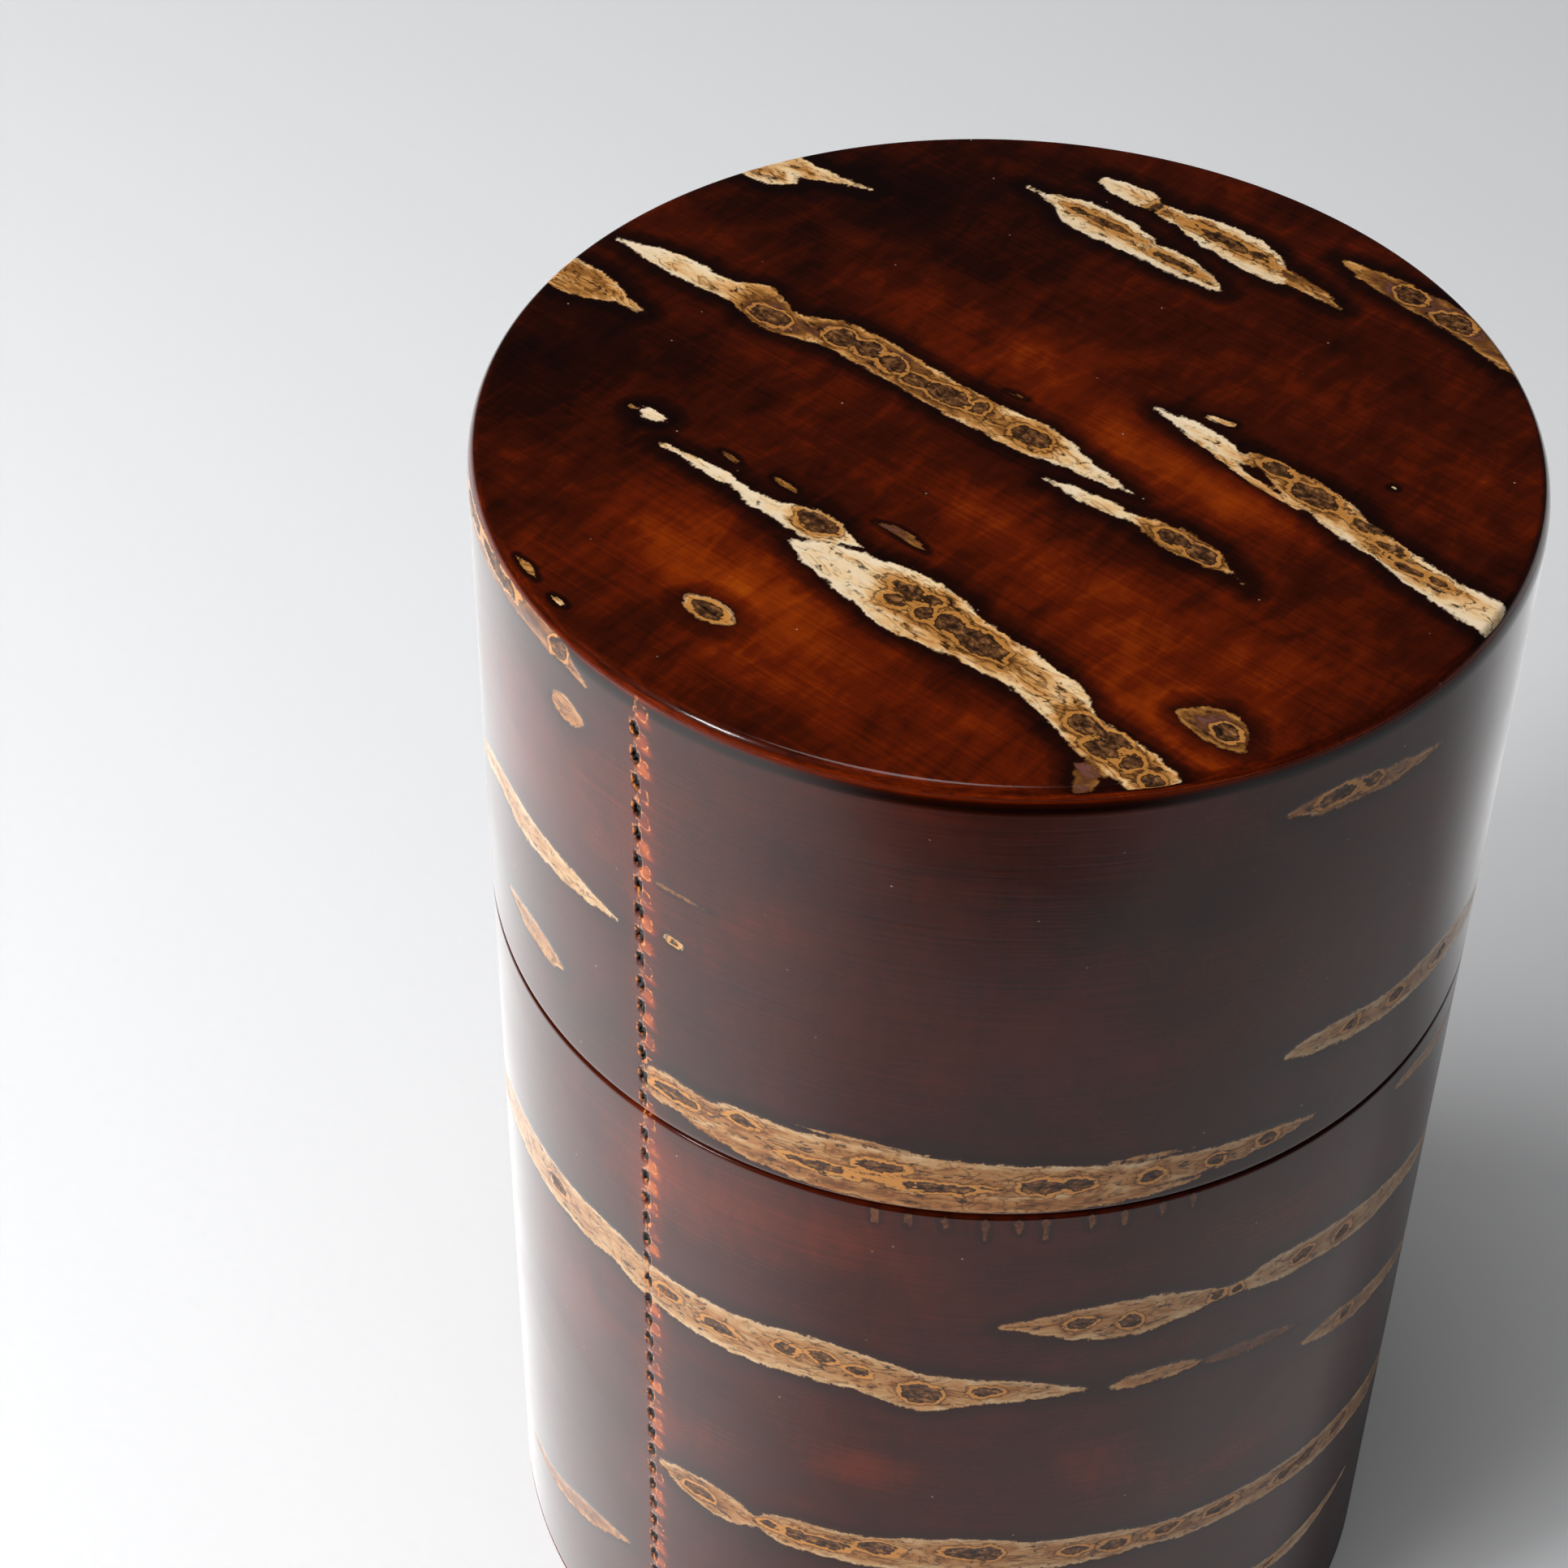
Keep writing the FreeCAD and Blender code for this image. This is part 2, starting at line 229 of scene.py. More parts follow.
# materials
def makeBark(name, look):
    # cherry bark, scraped, pressed and polished: a dark red, half clear sheet with fine grain,
    # and pale corky lenticels whose pores show as brown eyes with an ochre ring
    material, add = newMaterial(name)
    place, bark, seam = (add("Attribute", attribute_name=key).node.outputs["Vector"]
                         for key in ("place", "bark", "seam"))
    streak, pore, tone = add("SeparateXYZ", (bark,)).node.outputs
    tab, pit, shade = add("SeparateXYZ", (seam,)).node.outputs

    noises = {}
    for key, (along, across, detail, rough, bend) in look["patterns"].items():
        spot = add("VectorMath", (place, (1 / along, 1 / across, 1.0)), operation="MULTIPLY")
        noises[key] = add("TexNoise", {"Vector": spot, "Scale": 1.0, "Detail": detail, "Roughness": rough,
                                       "Distortion": bend})

    # the bark itself: how bright it is, from its mottles, flames and grain
    bright = shade
    for key, amount in look["mottling"].items():
        swing = add("Math", (noises[key], amount, -0.5 * amount), operation="MULTIPLY_ADD")
        bright = add("Math", (bright, swing), operation="ADD")

    # the outlines of streaks and pores, made uneven by noise and feathered across
    outlines = []
    for distance, uneven, feathered, middle in ((streak, 0.95, 0.45, 0.7), (pore, 1.3, 0.3, 0.72)):
        distance = add("Math", (noises["outline"], uneven, distance), operation="MULTIPLY_ADD")
        distance = add("Math", (noises["feather"], feathered, distance), operation="MULTIPLY_ADD")
        outlines.append(add("Math", (distance, middle), operation="SUBTRACT"))
    edge, hole = outlines
    inside = add("MapRange", (edge, -0.09, 0.14), interpolation_type="SMOOTHSTEP")
    halo = add("MapRange", (edge, -1.9, 0.1, 0.0, look["halo"]))
    halo = add("Math", (halo, noises["mottle"]), operation="MULTIPLY")
    bright = add("Math", (bright, halo), operation="SUBTRACT")
    barkColour = add("ValToRGB", {"Fac": bright}, stops=look["barkStops"])

    # pores: brown granular middle, thin dark line, then an ochre ring and a darker one, like agate
    nearHole = add("MapRange", (hole, -1.3, -0.1))
    rings = []
    # mm from the pore's edge, half width, where it is sharp, how much it covers
    for outwards, wide, sharp, most in ((-0.46, 0.08, 0.03, 0.75), (-0.2, 0.19, 0.1, 0.85)):
        ring = add("Math", (hole, outwards), operation="SUBTRACT")
        ring = add("Math", (ring,), operation="ABSOLUTE")
        ring = add("MapRange", (ring, wide, sharp, 0.0, most))
        rings.append(add("Math", (ring, inside), operation="MULTIPLY"))
    holeFill = add("MapRange", (hole, -0.02, 0.07))
    holeLine = add("Math", (hole,), operation="ABSOLUTE")
    holeLine = add("MapRange", (holeLine, 0.09, 0.02, 0.0, 0.85))
    holeColour = add("ValToRGB", {"Fac": noises["grit"]}, stops=look["poreStops"])

    # cork: cream at the rim and between pores, ochre near them, with fine veins
    rim = add("MapRange", (edge, 0.85, 0.15))
    cork = add("Math", (noises["cork"], 0.95, 0.42), operation="MULTIPLY_ADD")
    cork = add("Math", (cork, tone), operation="SUBTRACT")
    cork = add("Math", (rim, 0.2, cork), operation="MULTIPLY_ADD")
    cork = add("Math", (nearHole, look["stain"], cork), operation="MULTIPLY_ADD")
    corkColour = add("ValToRGB", {"Fac": cork}, stops=look["corkStops"])
    vein = add("Math", (noises["vein"], 44.0), operation="MULTIPLY")
    vein = add("Math", (vein,), operation="SINE")
    vein = add("MapRange", (vein, 0.5, 1.0, 0.0, 0.85))
    veinPlace = add("MapRange", (cork, 0.95, 0.45))
    vein = add("Math", (vein, veinPlace), operation="MULTIPLY")
    vein = add("Math", (vein, inside), operation="MULTIPLY")

    # dark broken cracks in the cork
    crack = add("Math", (noises["crack"], 0.5), operation="SUBTRACT")
    crack = add("Math", (crack,), operation="ABSOLUTE")
    crack = add("MapRange", (crack, 0.03, 0.01, 0.0, 0.9))
    broken = add("MapRange", (noises["outline"], 0.5, 0.56))
    deep = add("MapRange", (edge, 0.25, 0.6))
    crack = add("Math", (crack, broken), operation="MULTIPLY")
    crack = add("Math", (crack, deep), operation="MULTIPLY")

    # the seam: orange, broken edges round the teeth and the pits between them
    wander = add("Math", (noises["outline"], 0.34, -0.17), operation="MULTIPLY_ADD")
    tabEdge = add("Math", (wander, tab), operation="ADD")
    pitEdge = add("Math", (wander, pit), operation="ADD")
    tabLine = add("Math", (tabEdge,), operation="ABSOLUTE")
    pitLine = add("Math", (pitEdge, 0.06), operation="ADD")
    pitLine = add("Math", (pitLine,), operation="ABSOLUTE")
    tabLine = add("Math", (tabLine, pitLine), operation="MINIMUM")
    tabLine = add("MapRange", (tabLine, 0.12, 0.03))
    tabBroken = add("MapRange", (noises["grit"], 0.47, 0.6))
    tabLine = add("Math", (tabLine, tabBroken), operation="MULTIPLY")
    # pits are filled near-black, which is painted shade in the seam's notches; on the discs the same channel
    # draws the dark cracks
    pitFill = add("MapRange", (pitEdge, -0.05, 0.05))

    # a few pale specks left in the polish, at most one in each 8 mm square
    cell = add("VectorMath", (place, (0.125, 0.125, 1.0)), operation="MULTIPLY")
    speck = add("TexVoronoi", {"Vector": cell, "Scale": 1.0}, voronoi_dimensions="2D")
    speck = add("MapRange", (speck, 0.012, 0.006))
    kept = add("MapRange", (noises["crack"], 0.5, 0.6))
    speck = add("Math", (speck, kept), operation="MULTIPLY")

    fringe = add("MapRange", (edge, -0.3, 0.0, 0.0, 0.6))
    colour = barkColour
    for amount, over in ((fringe, "fringe"), (inside, corkColour), (vein, "vein"), (rings[0], "ring"),
                         (rings[1], "ringLight"), (crack, "crack"), (holeFill, holeColour),
                         (holeLine, "crack"), (pitFill, "pit"), (tabLine, "tabLine"), (speck, "speck")):
        over = linear(look[over]) if isinstance(over, str) else over
        colour = add("Mix", {0: amount, 6: colour, 7: over}, data_type="RGBA").node.outputs[2]

    polish = look["roughness"]
    rough = add("MapRange", {"Value": inside, "To Min": polish, "To Max": polish + 0.14})
    dull = add("Math", (noises["mottle"], 0.12, -0.06), operation="MULTIPLY_ADD")
    rough = add("Math", (rough, dull), operation="ADD")
    rough = add("Math", (holeFill, 0.15, rough), operation="MULTIPLY_ADD")

    height = add("Math", (inside, -0.3, noises["grain"]), operation="MULTIPLY_ADD")
    height = add("Math", (crack, -1.0, height), operation="MULTIPLY_ADD")
    normal = add("Bump", {"Height": height, "Strength": look["bump"], "Distance": 0.00003})
    shader = add("BsdfPrincipled",
                 {"Base Color": colour, "Roughness": rough, "Normal": normal, "IOR": look["ior"]})
    add("OutputMaterial", {"Surface": shader})
    return material


# (mm along, mm across, detail, roughness, how far it is bent)
barkPatterns = {
    "mottle": (9.0, 7.0, 4.0, 0.6, 0.3),
    "flame": (1.8, 5.5, 3.0, 0.55, 0.8),    # ripples that run across the streaks
    "grain": (16.0, 0.36, 4.0, 0.62, 0.2),  # fibres along the streaks, a third of a millimetre apart
    "outline": (1.5, 0.8, 3.5, 0.55, 0.3),
    "feather": (0.3, 1.3, 3.0, 0.6, 0.0),
    "cork": (2.4, 1.0, 4.0, 0.58, 0.6),
    "vein": (4.5, 1.5, 3.0, 0.5, 0.6),
    "crack": (3.6, 1.1, 3.0, 0.55, 0.4),
    "grit": (0.8, 0.55, 5.0, 0.68, 0.4),
}
polishedLook = {
    "patterns": barkPatterns,
    "mottling": {"mottle": 0.6, "flame": 0.46, "grain": 0.28},
    "barkStops": ((0.0, "#120301"), (0.2, "#240600"), (0.4, "#410F00"), (0.58, "#641B00"), (0.78, "#8E3302"),
                  (1.0, "#B4560A")),
    "corkStops": ((0.0, "#74483E"), (0.1, "#5C3620"), (0.3, "#9C662E"), (0.46, "#D29450"), (0.59, "#EDB87A"),
                  (0.73, "#FCD8A4"), (0.95, "#FFE6C2")),
    "poreStops": ((0.36, "#1C0E06"), (0.46, "#442814"), (0.55, "#6C4526"), (0.66, "#A4713E")),
    "fringe": "#2A0A02", "crack": "#1A0E06", "vein": "#6A4018", "ring": "#4E2E10", "ringLight": "#CC8A42",
    "tabLine": "#3A1E0C", "pit": "#070302", "speck": "#A09080", "stain": -0.3, "halo": 0.8,
    "roughness": 0.15, "bump": 0.2, "ior": 1.42,
}
polishedBark = makeBark("CherryBarkPolishedFlat", polishedLook)
# the same bark bent round a wall: quieter, darker, with its grain lying round the wall
wallBark = makeBark("CherryBarkPolishedRound", {
    **polishedLook, "mottling": {"mottle": 0.34, "flame": 0.14, "grain": 0.26}, "ior": 1.37,
    "tabLine": "#E0853F", "stain": -0.16, "ring": "#5A3814", "halo": 0.3, "fringe": "#3E1608",
    "corkStops": ((0.05, "#512915"), (0.24, "#794924"), (0.4, "#A06938"), (0.56, "#B48453"),
                  (0.76, "#C5A075"), (1.0, "#D4B895"))})
# thin bark, scraped and waxed: lighter and satin, with more of its grain to be seen
thinBark = makeBark("CherryBarkWaxedThin", {
    "patterns": barkPatterns,
    "mottling": {"mottle": 0.4, "flame": 0.25, "grain": 0.5},
    "barkStops": ((0.0, "#1E0B06"), (0.3, "#3A170B"), (0.55, "#5A2812"), (0.8, "#7E421F"), (1.0, "#A06636")),
    "corkStops": ((0.1, "#4A3420"), (0.35, "#80602F"), (0.6, "#B08A56"), (0.9, "#DCC090")),
    "poreStops": ((0.3, "#3A2A1C"), (0.55, "#644A32"), (0.75, "#8A6A48")),
    "fringe": "#3A1A0A", "crack": "#2E2014", "vein": "#6E4A22", "ring": "#4A3018", "ringLight": "#A87E44",
    "tabLine": "#8A5028", "pit": "#0C0604", "speck": "#8A6A54", "stain": -0.3, "halo": 0.8,
    "roughness": 0.38, "bump": 0.4, "ior": 1.45,
})
print("bark materials made")


def makeGrain(name, look):
    # wood whose grain is drawn in the piece's own millimetres, so that it fits any solid
    material, add = newMaterial(name)
    spot = add("TexCoord").node.outputs["Object"]
    value = 0.5 - 0.5 * sum(amount for size, detail, amount in look["layers"])  # so that the mean is a half
    for (x, y, z), detail, amount in look["layers"]:
        scaled = add("VectorMath", (spot, (1 / (x * mm), 1 / (y * mm), 1 / (z * mm))), operation="MULTIPLY")
        noise = add("TexNoise", {"Vector": scaled, "Scale": 1.0, "Detail": detail, "Roughness": 0.6})
        value = add("Math", (noise, amount, value), operation="MULTIPLY_ADD")
    colour = add("ValToRGB", {"Fac": value}, stops=look["stops"])
    if "rings" in look:  # thin glue lines between the turns of veneer, seen on the tube's end
        flat = add("VectorMath", (spot, (1.0, 1.0, 0.0)), operation="MULTIPLY")
        radius = add("VectorMath", (flat,), operation="LENGTH").node.outputs["Value"]
        turn = add("Math", (radius, 1 / (look["rings"] * mm)), operation="MULTIPLY")
        turn = add("Math", (turn,), operation="FRACT")
        line = add("MapRange", (turn, 0.2, 0.05, 0.0, 0.7))
        colour = add("Mix", {0: line, 6: colour, 7: linear("#4A2C16")}, data_type="RGBA").node.outputs[2]
    rough = add("MapRange", {"Value": value, "To Min": look["rough"][0], "To Max": look["rough"][1]})
    normal = add("Bump", {"Height": value, "Strength": look["bump"], "Distance": 0.00005})
    shader = add("BsdfPrincipled",
                 {"Base Color": colour, "Roughness": rough, "Normal": normal, "IOR": look["ior"]})
    add("OutputMaterial", {"Surface": shader})
    return material


# thin bark glued round a wall or flat on a face: the same waxed sheet, with short pale ticks along its grain
barkWallStops = ((0.15, "#2A1008"), (0.4, "#4A200F"), (0.58, "#68331A"), (0.7, "#8A5428"), (0.8, "#C0955A"))
thinBarkWall = makeGrain("CherryBarkWaxedRound", {
    "layers": (((9, 9, 6), 3, 0.4), ((7, 7, 0.6), 4, 0.65)), "stops": barkWallStops,
    "rough": (0.36, 0.5), "bump": 0.35, "ior": 1.47})
thinBarkFace = makeGrain("CherryBarkWaxedFlat", {
    "layers": (((9, 6, 9), 3, 0.4), ((8, 0.6, 8), 4, 0.65)), "stops": barkWallStops,
    "rough": (0.36, 0.5), "bump": 0.35, "ior": 1.47})
# wood veneer wound with glue: pale, dry, and lined with darker glue on the cut ends
woundVeneer = makeGrain("BirchVeneerWound", {
    "layers": (((5, 5, 14), 3, 0.4), ((1.2, 1.2, 12), 4, 0.6)),
    "stops": ((0.2, "#A07848"), (0.5, "#C09A66"), (0.8, "#D8BA8A")), "rings": 0.5,
    "rough": (0.5, 0.65), "bump": 0.3, "ior": 1.5})
# a planed board: straight pale grain with darker late wood
boardWood = makeGrain("CypressPlaned", {
    "layers": (((40, 9, 9), 2, 0.3), ((30, 1.4, 1.4), 4, 0.6)),
    "stops": ((0.2, "#A67C4A"), (0.5, "#C8A270"), (0.8, "#DFC498")),
    "rough": (0.45, 0.6), "bump": 0.3, "ior": 1.5})
# a knob turned from dark cherry and rubbed with wax: close grain, with turning lines round it
knobWood = makeGrain("CherryTurnedWaxed", {
    "layers": (((3, 3, 9), 3, 0.45), ((0.7, 0.7, 7), 4, 0.45), ((40, 40, 0.35), 2, 0.2)),
    "stops": ((0.2, "#2A0E06"), (0.5, "#4E2210"), (0.8, "#7A3F1E")),
    "rough": (0.24, 0.36), "bump": 0.2, "ior": 1.5})

nodeFinish = {
    woundVeneer: ("lid_core_tube", "body_core_tube", "sleeve_core_tube"),
    boardWood: ("lid_top_board", "base_board", "inner_lid_board", "inner_lid_plug", "knob_peg"),
    knobWood: ("inner_lid_knob",),
    thinBarkWall: ("lid_lining", "body_lining", "sleeve_lining", "inner_lid_edge_bark",
                   "inner_lid_plug_bark"),
    thinBarkFace: ("lid_ceiling_bark", "floor_bark", "inner_lid_under_bark", "knob_cap_bark"),
}
for finish, nodeNames in nodeFinish.items():
    for nodeName in nodeNames:
        slots = nodes[nodeName].data.materials
        slots.clear()
        slots.append(finish)
print("node finishes set:", sum(map(len, nodeFinish.values())))


# bark discs
def makeBarkDisc(spec):
    # a square net pulled out to a circle, then rolled over the edge and closed underneath
    radius, bottom, top = roundSize(spec["node"])
    depth = top - bottom
    face, way = (bottom, -1) if spec["faceDown"] else (top, 1)
    count = spec["net"]
    rounding, roundDrop = spec["rounding"]  # mm that the edge goes in and down, along an ellipse
    a = np.linspace(-1, 1, count)
    s, t = np.meshgrid(a, a)
    flatRadius = radius - rounding
    x = (s * np.sqrt(1 - t ** 2 / 2) * flatRadius).ravel()
    y = (t * np.sqrt(1 - s ** 2 / 2) * flatRadius).ravel()
    index = np.arange(count * count).reshape(count, count)
    faces = np.stack([index[:-1, :-1], index[:-1, 1:], index[1:, 1:], index[1:, :-1]], -1).reshape(-1, 4)
    border = np.concatenate([index[0, :-1], index[:-1, -1], index[-1, :0:-1], index[:0:-1, 0]])
    angle = np.arctan2(y[border], x[border])
    least, wall, foot = 0.02, 0.12, 0.04  # mm left of the sheet's edge under its rounding
    lowest = math.acos(1 - min(depth - least, roundDrop) / roundDrop)
    turn = np.append(np.linspace(0, 0.985 * lowest, 10)[1:], lowest)  # the last two close, for a crisp edge
    profile = [(flatRadius + rounding * math.sin(r), roundDrop * (1 - math.cos(r))) for r in turn]
    edgeRadius = profile[-1][0]
    if roundDrop < depth - wall:
        profile += [(edgeRadius, depth - wall), (edgeRadius - 0.01, depth - foot)]
    profile.append((edgeRadius - 0.05, depth))
    xs, ys, drops = [x], [y], [np.zeros_like(x)]
    quads = [faces]
    last = border
    total = len(x)
    for ringRadius, ringDrop in profile:
        xs.append(np.cos(angle) * ringRadius)
        ys.append(np.sin(angle) * ringRadius)
        drops.append(np.full(len(border), ringDrop))
        ring = np.arange(total, total + len(border))
        quads.append(np.stack([last, ring, np.roll(ring, -1), np.roll(last, -1)], -1))
        last = ring
        total += len(border)
    x, y = np.concatenate(xs + [[0.0]]), np.concatenate(ys + [[0.0]])  # and the middle of the underside
    drop = np.concatenate(drops + [[depth]])
    streak, pore, tone, shade = drawBark(x, y, spec["streaks"], spec["glows"], spec["level"])
    onSide = smooth(0.32, 0.6, drop)  # the cut edge shows the bark's red-brown fibres
    streak = streak * (1 - onSide) - 3 * onSide
    pore = pore * (1 - onSide) - 3 * onSide
    shade = shade + onSide * (0.54 - shade)
    relief = barkRelief(x, y, streak, pore) * (drop == 0) * smooth(0, 1.5, flatRadius - np.hypot(x, y))
    z = face - way * (drop - np.minimum(relief, 0))
    mesh = bpy.data.meshes.new(spec["name"])
    closing = [(last[(i + 1) % len(last)], last[i], total) for i in range(len(last))]
    polygons = [tuple(int(i) for i in corners)[::way] for corners in np.vstack(quads).tolist() + closing]
    mesh.from_pydata((np.stack([x, y, z], -1) * mm).tolist(), [], polygons)
    away = np.full(len(x), outside)
    cracks = away
    for line in spec.get("cracks", ()):
        cracks = np.maximum(cracks, streakDistance(line, x, y))
    putAttributes(mesh, {"place": (x, y, drop * 3 + spec["seed"]), "bark": (streak, pore, tone),
                         "seam": (away, cracks, shade)})
    # a map for the bake: the face and its edge from above, and the underside small in a corner
    faceHalf, underHalf, underMiddle = 0.46, 0.05, 0.055  # shares of the map
    layer = mesh.uv_layers.new(name="OFBake")
    loops = np.zeros(len(mesh.loops), int)
    mesh.loops.foreach_get("vertex_index", loops)
    reach = np.hypot(x, y)
    spread = np.where(reach > 0, (reach + drop * 2) / np.maximum(reach, 1e-6), 1)
    spread = spread * faceHalf / (radius + 2 * depth)
    uv = np.stack([0.5 + x * spread, 0.5 + y * spread], -1)[loops]
    under = np.zeros(len(loops), bool)
    under[len(loops) - 3 * len(closing):] = True
    uv[under] = (underMiddle + np.stack([x, y], -1) * (underHalf / radius))[loops[under]]
    layer.data.foreach_set("uv", uv.astype(np.float32).ravel())
    return finishPiece(mesh, spec["name"], spec["finish"], spec["body"], spec["node"])


